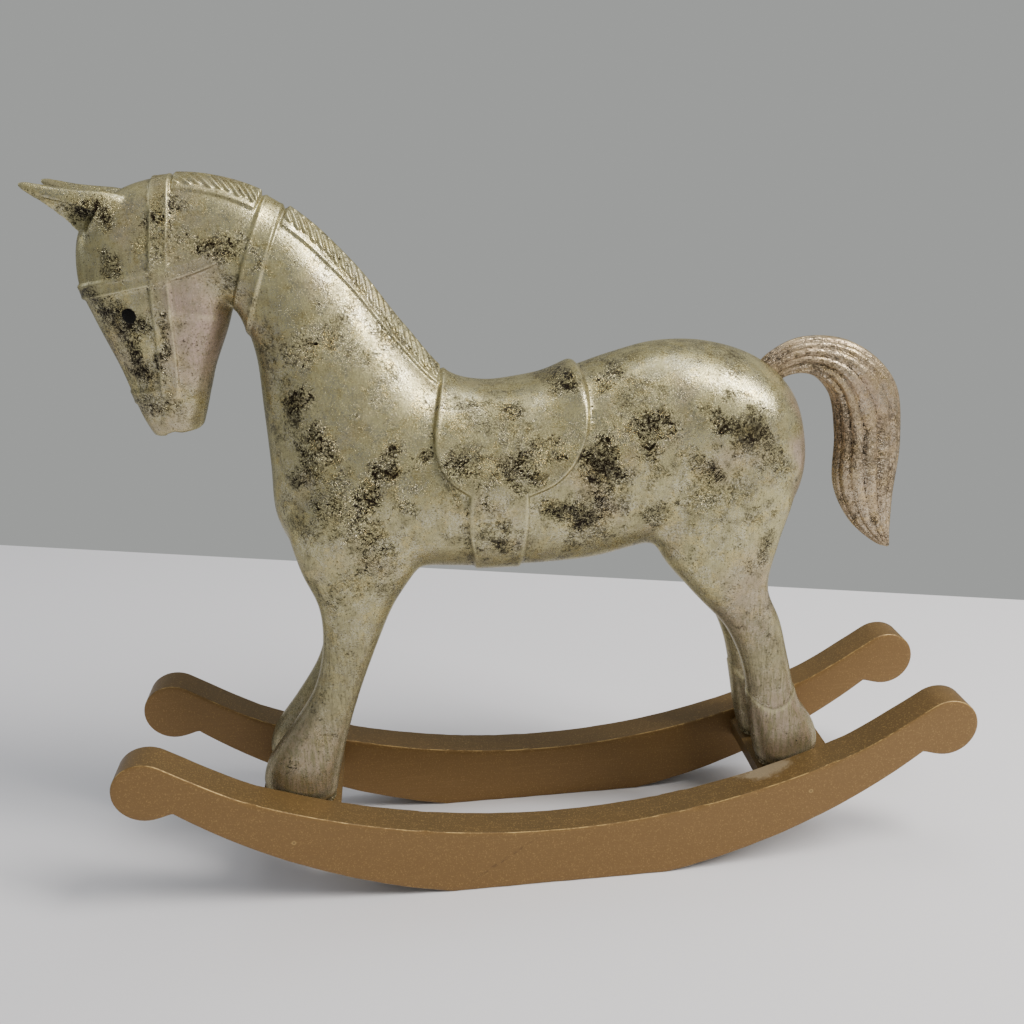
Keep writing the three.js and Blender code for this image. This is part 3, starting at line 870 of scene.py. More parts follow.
    def wear(self, obj: Mesh, side: Side, middle: float) -> None:
        """Rubs the eased edges unevenly inwards, with a few dents.

        Args:
            obj: The board.
            side: Which board it is, so that the two wear differently.
            middle: The y of the board's middle.
        """
        points = places(obj)
        x, z = points[:, 0].copy(), points[:, 2].copy()
        out = np.abs(points[:, 1] - middle) / (self.thickness / 2)
        inside = into(np.stack([x - self.shift, z], 1), self.outline())
        at_edge = smoothstep(out, 0.86, 1.0) * (1 - smoothstep(inside, 0.9, 1.4))
        rng = np.random.default_rng(7 + side.value)
        phases = rng.uniform(0, 6.28, 4)
        waves = sum(np.sin(x / size + phase) for size, phase in zip((4.1, 7.3, 2.3, 17.0), phases)) / 4
        rub = self.rub * at_edge * (1 + waves)
        for dent in rng.uniform(-185, 185, self.dents):
            gap = np.hypot(x - self.shift - dent, z - self.bow_top(np.clip(dent, -160, 160)))
            rub += self.dent_depth * (1 - smoothstep(gap, 0.5, 3.2)) * at_edge
        points[:, 1] -= np.sign(points[:, 1] - middle) * rub
        points[:, 2] = np.maximum(z - 0.5 * rub * np.sign(z - self.worn_middle), 0.0)
        move_to(obj, points)

    def slat(self, end: End) -> Mesh:
        """One crossbar, a sawn slat that leans with the bow.

        Args:
            end: Head end or tail end.

        Returns:
            The finished piece.
        """
        bpy.ops.object.select_all(action="DESELECT")
        bpy.ops.mesh.primitive_cube_add(size=1.0)
        obj = bpy.context.object
        obj.name = obj.data.name = f"crossbar_slat_{end.name.lower()}"
        size = (self.bar_width * MM, self.gauge * MM, self.bar_thickness * MM)
        edit(obj, (bpy.ops.transform.resize, {"value": size}),
             (bpy.ops.transform.translate, {"value": (0.0, 0.0, -size[2] / 2)}),
             (bpy.ops.mesh.subdivide, {"number_cuts": 9}))
        points = places(obj)
        lean = -end.value * self.bar_lean
        x, z = points[:, 0].copy(), points[:, 2].copy()
        grain = 0.12 * np.sin(points[:, 0] / 3.1) * np.sin(points[:, 1] / 5.3 + end.value)
        edge = smoothstep(np.abs(x), 0.9 * self.bar_width / 2, self.bar_width / 2)
        z = z + np.where(z > -0.01, -np.abs(grain) - 0.5 * edge, np.abs(grain))
        points[:, 0] = self.shift + end.value * self.bar_x + x * math.cos(lean) + z * math.sin(lean)
        points[:, 2] = self.bar_z - x * math.sin(lean) + z * math.cos(lean)
        move_to(obj, points)
        only(obj)
        bpy.ops.object.shade_smooth_by_angle(angle=SMOOTH_ANGLE)
        return obj

    def build(self) -> None:
        """Makes and dresses the boards and slats."""
        material = self.paint.build(self.shift)
        for side in Side:
            board = self.board(side)
            dress(board, material)
            hand_over(board, "rocker_paint", f"rocker_{side.name.lower()}")
        for end in End:
            slat = self.slat(end)
            dress(slat, material)
            hand_over(slat, "rocker_paint", f"crossbar_{end.name.lower()}")


# Tail


@dataclass
class Tail:
    """A fluted tail plugged into the rump. Each rib: inner x, z; outer x, z; half thickness."""

    ribs: Rows = (
        (104.0, 224.0, 95.5, 233.8, 4.8),
        (110.6, 230.6, 102.2, 241.2, 6.4),
        (121.8, 231.2, 117.0, 248.0, 8.2),
        (131.8, 221.8, 141.0, 245.2, 9.2),
        (136.2, 202.0, 161.8, 227.0, 9.4),
        (137.4, 177.0, 167.4, 199.0, 8.8),
        (147.0, 158.4, 166.4, 171.0, 6.6),
        (161.0, 146.4, 167.0, 151.0, 3.2),
        (166.4, 144.3, 167.7, 145.6, 1.0),
    )
    flutes: int = 7  # on each side
    flute_depth: float = 1.8
    rings: int = 190
    around: int = 168
    paint: ChampagnePaint = ChampagnePaint(
        name="rose_champagne_paint_in_flutes", champagne="#b09d80", rose="#ad9284", mottle_and_shade="#8d7a63",
        rub_everywhere=0.2, scribble=2.4, shade_in_hollows=0.16)

    def build(self, shift: float, lift: float) -> None:
        """Makes and dresses the tail.

        Args:
            shift: From the drawing's middle to the model's, in mm.
            lift: From the drawing's floor to the model's, in mm.
        """
        t = np.linspace(0.0, 1.0, self.rings)
        rows = np.array(self.ribs)
        inner, outer = through(rows[:, 0:2], t), through(rows[:, 2:4], t)
        half = through(np.c_[rows[:, 4], rows[:, 4] * 0], t)[:, 0]
        turn = np.linspace(0.0, 2 * math.pi, self.around, endpoint=False)[None, :]
        rib = outer - inner
        width = np.linalg.norm(rib, axis=1)[:, None]
        depth = np.minimum(self.flute_depth, 0.16 * half)[:, None]
        # The flutes swing across the tail a little, and every other one is shallower.
        phase = self.flutes * turn + 0.5 * np.sin(3.0 * t)[:, None] * np.sin(turn)
        ridge = np.abs(np.sin(phase)) ** 0.7
        uneven = 0.82 + 0.18 * np.cos(phase * 0.5 + 4.0 * t[:, None])
        out = -depth * (1 - ridge) * uneven
        along = -np.cos(turn) * (0.5 + out / width)
        middle = inner + rib / 2
        rings = np.stack([
            middle[:, :1] + rib[:, :1] * along,
            np.sin(turn) * (half[:, None] + out),
            middle[:, 1:] + rib[:, 1:] * along,
        ], 2)
        tail = skin("fluted_tail", rings + (shift, 0.0, lift))
        edit(tail, (bpy.ops.mesh.normals_make_consistent, {"inside": False}))
        store(tail, "hollow", np.clip(hollowness(tail, 6) * 6.0, -1.0, 1.0))
        only(tail)
        bpy.ops.object.shade_smooth()
        dress(tail, self.paint.build(shift))
        hand_over(tail, "tail_paint", "tail")


# Horse


@dataclass
class Horse:
    """The carved block: trunk, neck and head, legs, ears, and the tack and mane cut in relief.

    The operators can't give a free carving, so its skins are lofted from the solids' tables, made one by a
    voxel remesh, and carved by moving vertices along their normals.
    """

    # Each rib: underside x, z; top line x, z; half width; squareness below and above; where it is widest.
    ribs: Rows = (
        (-146.8, 222.4, -167.4, 219.8, 9.4, 2.6, 2.6, 0.5),
        (-144.4, 229.6, -171.0, 228.2, 12.4, 2.4, 2.5, 0.5),
        (-138.4, 248.5, -177.2, 250.5, 14.2, 2.3, 2.6, 0.47),
        (-131.8, 263.5, -184.2, 270.5, 17.2, 2.3, 2.6, 0.47),
        (-129.2, 270.6, -188.6, 287.0, 19.2, 2.3, 2.5, 0.5),
        (-128.2, 272.4, -184.6, 307.0, 19.2, 2.3, 2.3, 0.53),
        (-127.2, 272.8, -168.8, 320.2, 18.0, 2.3, 2.2, 0.53),
        (-126.0, 271.4, -148.6, 325.2, 17.2, 2.3, 2.1, 0.5),
        (-123.8, 266.4, -125.6, 322.2, 17.4, 2.3, 2.0, 0.47),
        (-120.8, 251.5, -102.4, 310.4, 19.2, 2.3, 1.95, 0.45),
        (-120.2, 228.0, -78.8, 287.0, 23.4, 2.3, 1.9, 0.44),
        (-119.8, 203.0, -58.4, 258.8, 28.6, 2.4, 1.9, 0.45),
        (-118.8, 179.0, -41.0, 238.6, 32.4, 2.6, 2.0, 0.47),
        (-106.0, 159.0, -25.0, 233.6, 34.8, 2.5, 2.2, 0.48),
        (-66.0, 154.6, -6.0, 234.6, 35.8, 2.3, 2.3, 0.48),
        (-22.0, 151.8, 12.0, 238.4, 35.8, 2.3, 2.3, 0.48),
        (18.0, 152.4, 32.0, 244.6, 35.4, 2.3, 2.3, 0.49),
        (48.0, 158.0, 54.0, 249.0, 35.4, 2.3, 2.3, 0.5),
        (76.0, 160.0, 78.0, 247.2, 35.0, 2.3, 2.3, 0.52),
        (97.0, 164.0, 98.0, 239.6, 32.0, 2.3, 2.2, 0.52),
        (111.6, 171.0, 112.2, 226.0, 25.0, 2.2, 2.1, 0.5),
        (117.8, 183.0, 118.0, 207.0, 13.5, 2.1, 2.0, 0.5),
    )
    # Legs by height: z; front edge x; back edge x; inner and outer side y.
    fore: Rows = (
        (36, -136.0, -104.5, 2.7, 26.1),
        (50, -137.4, -102.3, 2.7, 26.1),
        (62, -134.4, -99.2, 3.2, 25.9),
        (80, -121.6, -94.4, 5.5, 24.9),
        (99, -109.6, -87.8, 7.1, 24.7),
        (120, -104.0, -79.4, 7.1, 26.1),
        (141, -104.0, -69.6, 5.7, 29.6),
        (162, -111.0, -56.0, 3.2, 33.8),
        (184, -113.0, -50.0, 2.7, 35.1),
        (208, -96.0, -60.0, 7.4, 33.1),
    )
    hind: Rows = (
        (34, 104.0, 129.5, 2.7, 26.1),
        (47, 101.0, 132.2, 2.7, 26.1),
        (60, 98.4, 130.0, 3.2, 25.9),
        (78, 96.2, 119.6, 5.7, 24.9),
        (98, 91.6, 114.2, 7.4, 24.7),
        (118, 81.8, 108.8, 6.9, 27.3),
        (138, 64.4, 101.4, 5.5, 31.2),
        (160, 48.6, 105.0, 3.4, 35.0),
        (184, 48.0, 110.6, 2.7, 35.5),
        (214, 66.0, 98.0, 5.5, 33.1),
    )
    leg_squareness: float = 2.35
    # An ear from base to tip: axis x, y, z; half breadth; half thickness.
    ear: Rows = (
        (-166.0, 8.6, 308.4, 10.4, 5.0),
        (-175.6, 9.8, 312.2, 10.2, 5.6),
        (-183.0, 11.0, 315.6, 7.4, 4.9),
        (-189.6, 12.2, 318.8, 4.7, 3.7),
        (-195.6, 13.4, 321.8, 2.8, 2.5),
        (-200.2, 14.2, 323.9, 1.6, 1.5),
        (-201.8, 14.4, 324.6, 0.8, 0.8),
    )
    ear_tilt: float = math.radians(33)
    voxel: float = 0.9
    triangles: int = 192_000
    saddle_relief: float = 1.8
    saddle_lip: float = 0.15
    cantle: float = 1.8
    girth_relief: float = 1.3
    strap_relief: float = 0.85
    strap_lip: float = 0.2
    mane_relief: float = 2.0
    mane_groove: float = 1.8
    mane_width: float = 9.5
    mane_ledge: float = 2.6
    # The mane from poll to withers, in ribs; how far down each side it goes, in radians; samples each way.
    mane_span: tuple[float, float] = (6.7, 12.45)
    mane_reach: float = 1.25
    mane_samples: tuple[int, int] = (560, 60)
    # Locks by distance along the crest: wide at the poll, fine up to the throat strap, even down the neck.
    lock_marks: Sizes = (0.0, 20.0, 34.0, 50.0, 70.0, 200.0)
    lock_pitch: Sizes = (4.9, 4.2, 2.9, 3.9, 4.3, 4.0)
    lock_slant: Rows = ((0.0, 30.0, 60.0), (0.85, 0.75, 0.68))
    eye_relief: float = 0.5
    foot_height: float = 8.0
    foot_rounding: float = 3.4
    fetlock_step: float = 0.55
    hand_marks: Rows = ((17.0, 0.3), (29.0, 1.9), (11.0, 4.1))  # length and phase of each wave
    hand_relief: float = 0.05
    saddle_front: Rows = (
        (-43, 262), (-43.6, 244), (-46.4, 231), (-48.6, 220), (-48, 210), (-43.4, 201.4), (-34.4, 194.4),
    )
    saddle_back: Rows = (
        (-9.6, 193.6), (1, 198), (9, 205.4), (14.6, 216), (17, 228), (16.6, 240), (14.6, 262),
    )
    girth_front: Rows = ((-34, 203), (-35.8, 187), (-35.6, 174), (-33.8, 162), (-31.8, 140))
    girth_back: Rows = ((-14.4, 140), (-12.6, 160), (-11, 176), (-10.4, 188), (-11, 203))
    # Each strap: its middle line and half width.
    crown_strap: tuple[Rows, float] = (((-150.6, 336), (-150.8, 312), (-152.4, 298), (-153.6, 287)), 3.9)
    cheek_strap: tuple[Rows, float] = (((-153.6, 287), (-154.2, 270), (-155.2, 253), (-156.3, 240.5)), 3.9)
    brow_band: tuple[Rows, float] = (
        ((-196, 279.2), (-184, 282.4), (-168, 285.6), (-153.6, 288.2), (-138, 292.4), (-126, 297.4)), 3.1)
    nose_band: tuple[Rows, float] = (((-184, 235.8), (-170, 237.8), (-154.6, 239.8), (-134, 241.4)), 3.0)
    throat_strap: tuple[Rows, float] = (
        ((-103.6, 324), (-109.6, 309.4), (-115.6, 293.4), (-120.8, 279), (-126.4, 262)), 4.3)
    mouth: Rows = ((-163, 217), (-160.6, 221.6), (-157.4, 222.6), (-153.6, 221.4), (-151, 217))
    # Bare and rosy patches: centre x and z, half sizes, degrees turned front end up, and strength.
    rubbed: Rows = (
        (43, 219, 9, 9, 0, 1.0), (85, 215, 7, 9, -20, 1.15), (72, 222, 9, 4, 15, 1.0),
        (66, 202, 6, 6, 0, 0.7), (98, 204, 6, 9, 0, 0.6), (28, 240, 7, 4, -30, 0.8),
        (84, 245, 7, 3, 10, 0.7), (47, 182, 7, 6, 0, 0.5), (21, 203, 8, 12, 8, 1.1),
        (12, 184, 14, 5, 8, 1.05), (-13, 206, 9, 9, 0, 1.1), (-36, 206, 9, 7, 20, 0.75),
        (3, 212, 4, 6, 30, 0.8), (4, 238, 9, 5, 0, 0.85), (-13, 229, 6, 4, 0, 0.6),
        (-42, 246, 7, 4, 0, 0.7), (-23, 172, 4, 3, 0, 0.9), (-31, 190, 4, 6, 0, 0.7),
        (-53, 213, 3, 4, 0, 1.0), (-68, 209, 5, 6, 0, 1.05), (-80, 197, 5, 10, 20, 0.85),
        (-98, 213, 8, 12, 0, 1.0), (-104, 236, 5, 8, 0, 0.9), (-96, 257, 11, 8, 0, 0.5),
        (-94, 190, 10, 12, 0, 0.5), (-78, 174, 10, 14, 0, 0.5), (-132, 299, 8, 6, 0, 1.0),
        (-148, 311, 8, 5, -20, 0.7), (-177, 312, 9, 5, 10, 0.85), (-174, 294, 4, 6, 0, 0.85),
        (-170, 272, 8, 7, 0, 1.1), (-167, 256, 4, 9, -22, 1.0), (-155, 258, 2, 11, 0, 0.9),
        (-165, 236, 5, 2, 0, 0.8), (-183, 280, 8, 2, 0, 0.8), (-117, 295, 2, 11, 0, 0.6),
        (94, 155, 4, 12, 0, 0.7), (100, 121, 4, 16, -8, 0.6), (116, 57, 11, 5, 20, 0.7),
        (-119, 62, 10, 5, 0, 0.6), (-108, 92, 3, 14, 12, 0.6),
    )
    rosy: Rows = (
        (-140, 262, 12, 26, 0, 1.0), (-158, 226, 12, 6, 0, 0.45), (-118, 60, 22, 28, 0, 0.8),
        (112, 62, 18, 30, 0, 1.0), (117, 205, 8, 40, 0, 0.9), (90, 128, 14, 24, 0, 0.6),
    )
    paint: ChampagnePaint = ChampagnePaint(eye=EYE)

    @property
    def straps(self) -> tuple[tuple[Rows, float], ...]:
        """The bridle, each strap over the ones before it."""
        return self.crown_strap, self.cheek_strap, self.brow_band, self.nose_band, self.throat_strap

    @property
    def saddle(self) -> Array:
        """The saddle's outline in the side view, closed over the back."""
        return np.vstack([fine(self.saddle_front), fine(self.saddle_back)])

    @property
    def girth(self) -> Array:
        """The girth's outline in the side view."""
        return np.vstack([fine(self.girth_front), fine(self.girth_back)])

    def on_body(self, t: Array, turn: Array, grow: float = 0.0) -> Array:
        """Points of the trunk's skin.

        Args:
            t: From lips at 0 to dock at 1.
            turn: From the underside at 0 over the right side to the top line at half a turn.
            grow: How far the skin is moved out.

        Returns:
            N x 3, in the drawing's millimetres.
        """
        rows = np.array(self.ribs)
        under, over = through(rows[:, 0:2], t), through(rows[:, 2:4], t)
        girth, corner = through(rows[:, [4, 7]], t), through(rows[:, 5:7], t)
        rib = over - under
        square = np.where(np.cos(turn) > 0, corner[:, 0], corner[:, 1])
        along = (1 - bulge(np.cos(turn), 2 / square)) / 2
        share = along + 4 * (girth[:, 1] - 0.5) * along * (1 - along)
        side = bulge(np.sin(turn), 2 / square)
        flat_point = under + rib * share[:, None]
        flat_point += rib / np.linalg.norm(rib, axis=1)[:, None] * (grow * (2 * share - 1))[:, None]
        return np.stack([flat_point[:, 0], side * (girth[:, 0] + grow), flat_point[:, 1]], 1)

    def trunk(self) -> Mesh:
        """The skin of trunk, neck and head."""
        rings, around = 420, 144
        t = np.repeat(np.linspace(0.0, 1.0, rings), around)
        turn = np.tile(np.linspace(0.0, 2 * math.pi, around, endpoint=False), rings)
        return skin("trunk", self.on_body(t, turn).reshape(rings, around, 3))

    def leg(self, rows: Rows, side: Side, frame: Underframe) -> Mesh:
        """One leg, with its sole cut to the slat under it.

        Args:
            rows: The leg's stations.
            side: Left or right.
            frame: What it stands on.

        Returns:
            The leg's skin.
        """
        table = np.array(rows, float)
        t = np.linspace(0.0, 1.0, 180)
        edges, sides = through(table[:, [1, 2, 0]], t), through(table[:, 3:5], t)
        turn = np.linspace(0.0, 2 * math.pi, 72, endpoint=False)[None, :]
        across = (1 + bulge(np.cos(turn), 2 / self.leg_squareness)) / 2
        out = (1 + bulge(np.sin(turn), 2 / self.leg_squareness)) / 2
        x = edges[:, :1] + (edges[:, 1:2] - edges[:, :1]) * across
        y = side.value * (sides[:, :1] + (sides[:, 1:2] - sides[:, :1]) * out)
        z = np.repeat(edges[:, 2:3], turn.shape[1], 1)
        leg = skin("leg", np.stack([x, y, z], 2), side is Side.LEFT)
        end = math.copysign(1.0, table[0, 1])
        up = Vector((-end * math.sin(frame.bar_lean), 0.0, math.cos(frame.bar_lean)))
        foot = Vector((end * frame.bar_x, 0.0, DRAWN_BAR_Z)) * MM
        edit(leg, (bpy.ops.mesh.bisect, {"plane_co": foot + up * SEAT_GAP * MM, "plane_no": up,
                                         "use_fill": True, "clear_inner": True}))
        return leg

    def ears(self, side: Side) -> Mesh:
        """One ear: a leaf that points forward, scooped out on its lower outer side.

        Args:
            side: Left or right.

        Returns:
            The ear's skin.
        """
        rows = np.array(self.ear)

        def leaf(table: Array, sink: float, outward: float, breadth: float, thickness: float) -> Mesh:
            """A leaf's skin, or the tool that scoops it."""
            line = through(table, np.linspace(0.0, 1.0, 60))
            turn = np.linspace(0.0, 2 * math.pi, 40, endpoint=False)[None, :]
            up = np.cos(turn) * line[:, 3:4] * breadth - sink
            across = line[:, 1:2] + outward + np.sin(turn) * line[:, 4:5] * thickness
            rings = np.stack([line[:, :1] + math.sin(self.ear_tilt) * up, side.value * across,
                              line[:, 2:3] + math.cos(self.ear_tilt) * up], 2)
            obj = skin("ear", rings, side is Side.LEFT)
            edit(obj, (bpy.ops.mesh.normals_make_consistent, {"inside": False}))
            return obj

        ear = leaf(rows, 0.0, 0.0, 1.0, 1.0)
        scoop = leaf(rows[1:-1], 3.6, 2.4, 0.72, 0.74)
        apply_modifier(ear, "BOOLEAN", operation="DIFFERENCE", object=scoop, solver="EXACT")
        bpy.data.objects.remove(scoop)
        return ear

    def block(self, frame: Underframe) -> Mesh:
        """Trunk, legs and ears as one smooth skin, before any relief.

        Args:
            frame: What it stands on.

        Returns:
            The block.
        """
        parts = [self.trunk()]
        for side in Side:
            parts += [self.leg(self.fore, side, frame), self.leg(self.hind, side, frame), self.ears(side)]
        block = join("carved_horse", parts)
        apply_modifier(block, "REMESH", mode="VOXEL", voxel_size=self.voxel * MM)
        self.refine(block)
        points = places(block)
        x, _, z = points.T
        # Where the legs run into the trunk the carver left soft hollows; the ears' tips stay thin.
        root = smoothstep(z, 118, 142) * (1 - smoothstep(z, 204, 224))
        legs = np.maximum(1 - smoothstep(np.abs(x + 88), 40, 56), 1 - smoothstep(np.abs(x - 80), 40, 60))
        thin = smoothstep(z, 296, 308) - smoothstep(x, -186, -172)
        groups = {"roots": root * legs, "everywhere": 1 - 0.5 * np.clip(thin, 0.0, 1.0)}
        for name, weights in groups.items():
            group = block.vertex_groups.new(name=name)
            for level in np.linspace(0.1, 1.0, 10):
                picked = np.nonzero((weights > level - 0.1) & (weights <= level))[0]
                group.add(picked.tolist(), float(level), "REPLACE")
        apply_modifier(block, "SMOOTH", factor=0.5, iterations=130, vertex_group="roots")
        apply_modifier(block, "SMOOTH", factor=0.5, iterations=9, vertex_group="everywhere")
        return block

    def refine(self, block: Mesh) -> None:
        """Halves the faces where the finest carving comes: mane, bridle, ears and the edges of the saddle.

        Args:
            block: The block as the remesh left it.
        """
        centres = np.empty(len(block.data.polygons) * 3)
        block.data.polygons.foreach_get("center", centres)
        middle = centres.reshape(-1, 3) / MM
        flat = middle[:, [0, 2]]
        crest = fine(tuple(row[2:4] for row in self.ribs[6:14]))
        near = off_line(flat, crest) < 15
        for line, _ in self.straps:
            near |= off_line(flat, fine(line)) < 5.5
        near |= (middle[:, 0] < -178) & (middle[:, 2] > 296)
        near |= off_line(flat, np.vstack([self.saddle, self.saddle[:1]])) < 3.0
        edit(block, (bpy.ops.mesh.subdivide, {"number_cuts": 1}), faces=near)

    def band(self, flat: Array, line: Rows, half: float) -> Array:
        """A strap in relief, with a rolled lip along both edges and a cut line outside them.

        Args:
            flat: Side-view points.
            line: The strap's middle line.
            half: Its half width.

        Returns:
            Height at each point.
        """
        inside = half - off_line(flat, fine(line))
        height = self.strap_relief * smoothstep(inside, -0.7, 0.7)
        height += self.strap_lip * np.exp(-(((inside - 1.0) / 0.6) ** 2))
        return height - 0.1 * np.exp(-(((inside + 1.1) / 0.5) ** 2))

    def tack(self, flat: Array) -> Array:
        """Height of saddle, girth and bridle over the skin.

        Args:
            flat: Side-view points.

        Returns:
            A height for each.
        """
        inside, under = into(flat, self.saddle), into(flat, self.girth)
        saddle = self.saddle_relief * smoothstep(inside, -0.9, 0.9)
        free = 1 - smoothstep(under, -1.0, 1.0)
        saddle += free * self.saddle_lip * np.exp(-(((inside - 1.3) / 0.9) ** 2))
        saddle -= free * 0.15 * np.exp(-(((inside + 1.4) / 0.6) ** 2))
        # The cantle: the seat rises towards its back edge, most of all over the spine.
        from_back = off_line(flat, fine(self.saddle_back))
        rise = smoothstep(flat[:, 1], 214, 240) * (1 - smoothstep(from_back, 1.0, 24.0)) ** 2
        saddle += self.cantle * rise * smoothstep(inside, -0.9, 3.2)

        upper = smoothstep(flat[:, 1], 176, 192)
        deep = self.girth_relief + (self.saddle_relief - self.girth_relief) * upper
        girth = deep * smoothstep(under, -0.9, 0.8) + 0.1 * np.exp(-(((under - 1.2) / 0.8) ** 2))
        girth -= 0.12 * np.exp(-(((under + 1.3) / 0.6) ** 2))
        height = np.where(np.abs(saddle) > np.abs(girth), saddle, girth)

        # The brow and nose bands fade backwards, and the cheek strap ends at the nose band.
        shares = {
            self.brow_band: 1 - smoothstep(flat[:, 0], -134, -120),
            self.cheek_strap: smoothstep(flat[:, 1], 236.6, 238.0),
            self.nose_band: 0.6 - 0.5 * smoothstep(flat[:, 0], -156, -142),
        }
        for strap in self.straps:
            relief = self.band(flat, *strap) * shares.get(strap, 1.0)
            height = np.where(relief > np.maximum(height, 0.05), relief, height + np.minimum(relief, 0.0))
        return height

    def locks(self, points: Array, away: Array) -> Array:
        """Height of the mane over the skin.

        Args:
            points: Vertices in the drawing's millimetres.
            away: 1 where the mane may be, 0 where a strap crosses it.

        Returns:
            A height for each.
        """
        steps, downs = self.mane_samples
        t = np.linspace(*self.mane_span, steps) / (len(self.ribs) - 1)
        turn = math.pi + np.linspace(-self.mane_reach, self.mane_reach, 2 * downs + 1)
        grid = self.on_body(np.repeat(t, len(turn)), np.tile(turn, steps)).reshape(steps, len(turn), 3)
        crest = np.r_[0.0, np.cumsum(np.linalg.norm(np.diff(grid[:, downs], axis=0), axis=1))]
        step_down = np.linalg.norm(np.diff(grid, axis=1), axis=2)
        down = np.zeros(grid.shape[:2])
        down[:, downs + 1 :] = np.cumsum(step_down[:, downs:], axis=1)
        down[:, :downs] = np.cumsum(step_down[:, :downs][:, ::-1], axis=1)[:, ::-1]
        tree = KDTree(grid.shape[0] * grid.shape[1])
        for k, place in enumerate(grid.reshape(-1, 3)):
            tree.insert(place, k)
        tree.balance()
        height = np.zeros(len(points))
        x, _, z = points.T
        near = np.nonzero((x < -28) & (x > -160) & (z > 226) & (away > 0))[0]
        found = np.array([tree.find(p)[1:] for p in points[near]])
        close = found[:, 1] < 3.0
        near, index = near[close], found[close, 0].astype(int)
        row, column = index // len(turn), index % len(turn)
        # From the nearest sample to the vertex itself, along the two directions of the grid.
        gap = points[near] - grid[row, column]

        def gone(way: Array) -> Array:
            """How far each gap goes along a way."""
            return np.einsum("ij,ij->i", gap, way) / np.maximum(np.linalg.norm(way, axis=1), 1e-6)

        ahead = np.minimum(row + 1, steps - 1)
        beside = np.clip(column + np.sign(column - downs), 0, len(turn) - 1)
        s = crest[row] + gone(grid[ahead, column] - grid[ahead - 1, column])
        d = np.maximum(down[row, column] + gone(grid[row, beside] - grid[row, column]), 0.0)
        marks = np.linspace(0.0, crest[-1] + 30, 400)
        pitch = np.interp(marks[1:], self.lock_marks, self.lock_pitch)
        count = np.r_[0.0, np.cumsum(np.diff(marks) / pitch)]
        slant = np.interp(s, *self.lock_slant)
        lock = np.interp(np.clip(s - slant * d, 0.0, None), marks, count)
        across = 2 * (lock % 1.0) - 1
        ridge = np.clip(1 - np.abs(across) ** 2.4, 0.0, 1.0) ** 0.8
        tip = self.mane_width - 0.9 * across**2 + 0.5 * np.sin(lock.astype(int) * 2.4)
        shallow = 0.75 + 0.25 * smoothstep(s, 24.0, 46.0)
        body = shallow * (self.mane_relief - self.mane_groove * (1 - ridge) * smoothstep(d, 0.0, 1.5))
        ledge_end = self.mane_width + self.mane_ledge
        ledge = 0.9 * (1 - smoothstep(d, ledge_end - 0.4, ledge_end + 0.8))
        ends = smoothstep(s, 0.0, 2.5) * (1 - smoothstep(s, crest[-1] - 6, crest[-1]))
        on = 1 - smoothstep(d - tip, -0.5, 0.5)
        height[near] = np.maximum(body * on, ledge) * ends
        return height * away

    def carve(self, obj: Mesh, frame: Underframe, shift: float, lift: float) -> None:
        """Cuts the relief: tack, mane, eyes, mouth and fetlock lines, and rounds the feet.

        Args:
            obj: The smooth block.
            frame: What it stands on.
            shift: From the drawing's middle to the model's, in mm.
            lift: From the drawing's floor to the model's, in mm.
        """
        points = places(obj)
        outward = normals(obj)
        flat = points[:, [0, 2]]
        x, z = flat.T
        height = np.zeros(len(points))
        trunk = z > 146
        height[trunk] = self.tack(flat[trunk])
        away = np.ones(len(points))
        for (line, half), margin in ((self.throat_strap, 1.4), (self.crown_strap, 1.0)):
            away *= 1 - smoothstep(half + margin - off_line(flat, fine(line)), -0.6, 0.6)
        away *= 1 - smoothstep(into(flat, self.saddle), -1.6, -0.4)
        height = np.maximum(height, np.where(away > 0, self.locks(points, away), -9.0))
        eye_x, eye_z, half_x, half_z = EYE
        eye = np.hypot((x - eye_x) / half_x, (z - eye_z) / half_z)
        height += self.eye_relief * np.clip(1 - eye**2, 0.0, 1.0) ** 0.6
        for end in End:
            lean = end.value * frame.bar_lean
            above = (z - DRAWN_BAR_Z) * math.cos(lean) - (x - end.value * frame.bar_x) * math.sin(lean)
            here = (np.sign(x) == end.value) * (z < 80)
            low_down = np.clip(1 - (above - SEAT_GAP) / self.foot_height, 0.0, 1.0) * here
            height -= self.foot_rounding * (1 - np.sqrt(1 - low_down**2)) * (np.abs(outward[:, 2]) < 0.75)
        hind = (x > 60) & (z < 100)
        line = 75.0 + 0.055 * (x - 106.0) ** 2
        step = self.fetlock_step * smoothstep(line - z, -0.4, 0.5) * (1 - smoothstep(line - z, 2.0, 16.0))
        height += np.where(hind, step, 0.0)
        # The carver's hand: long low waves that break up the gloss.
        for size, phase in self.hand_marks:
            wave = np.sin(x / size * 3 + phase) * np.sin(z / size * 2.6 + 2 * phase)
            height += self.hand_relief * wave * (size / 17)
        points += outward * height[:, None]
        gap = np.interp(points[:, 0], *np.array(self.mouth).T, left=0.0, right=0.0)
        points[:, 2] = np.maximum(points[:, 2], np.where(z < 232, gap, 0.0))
        move_to(obj, points + (shift, 0.0, lift))

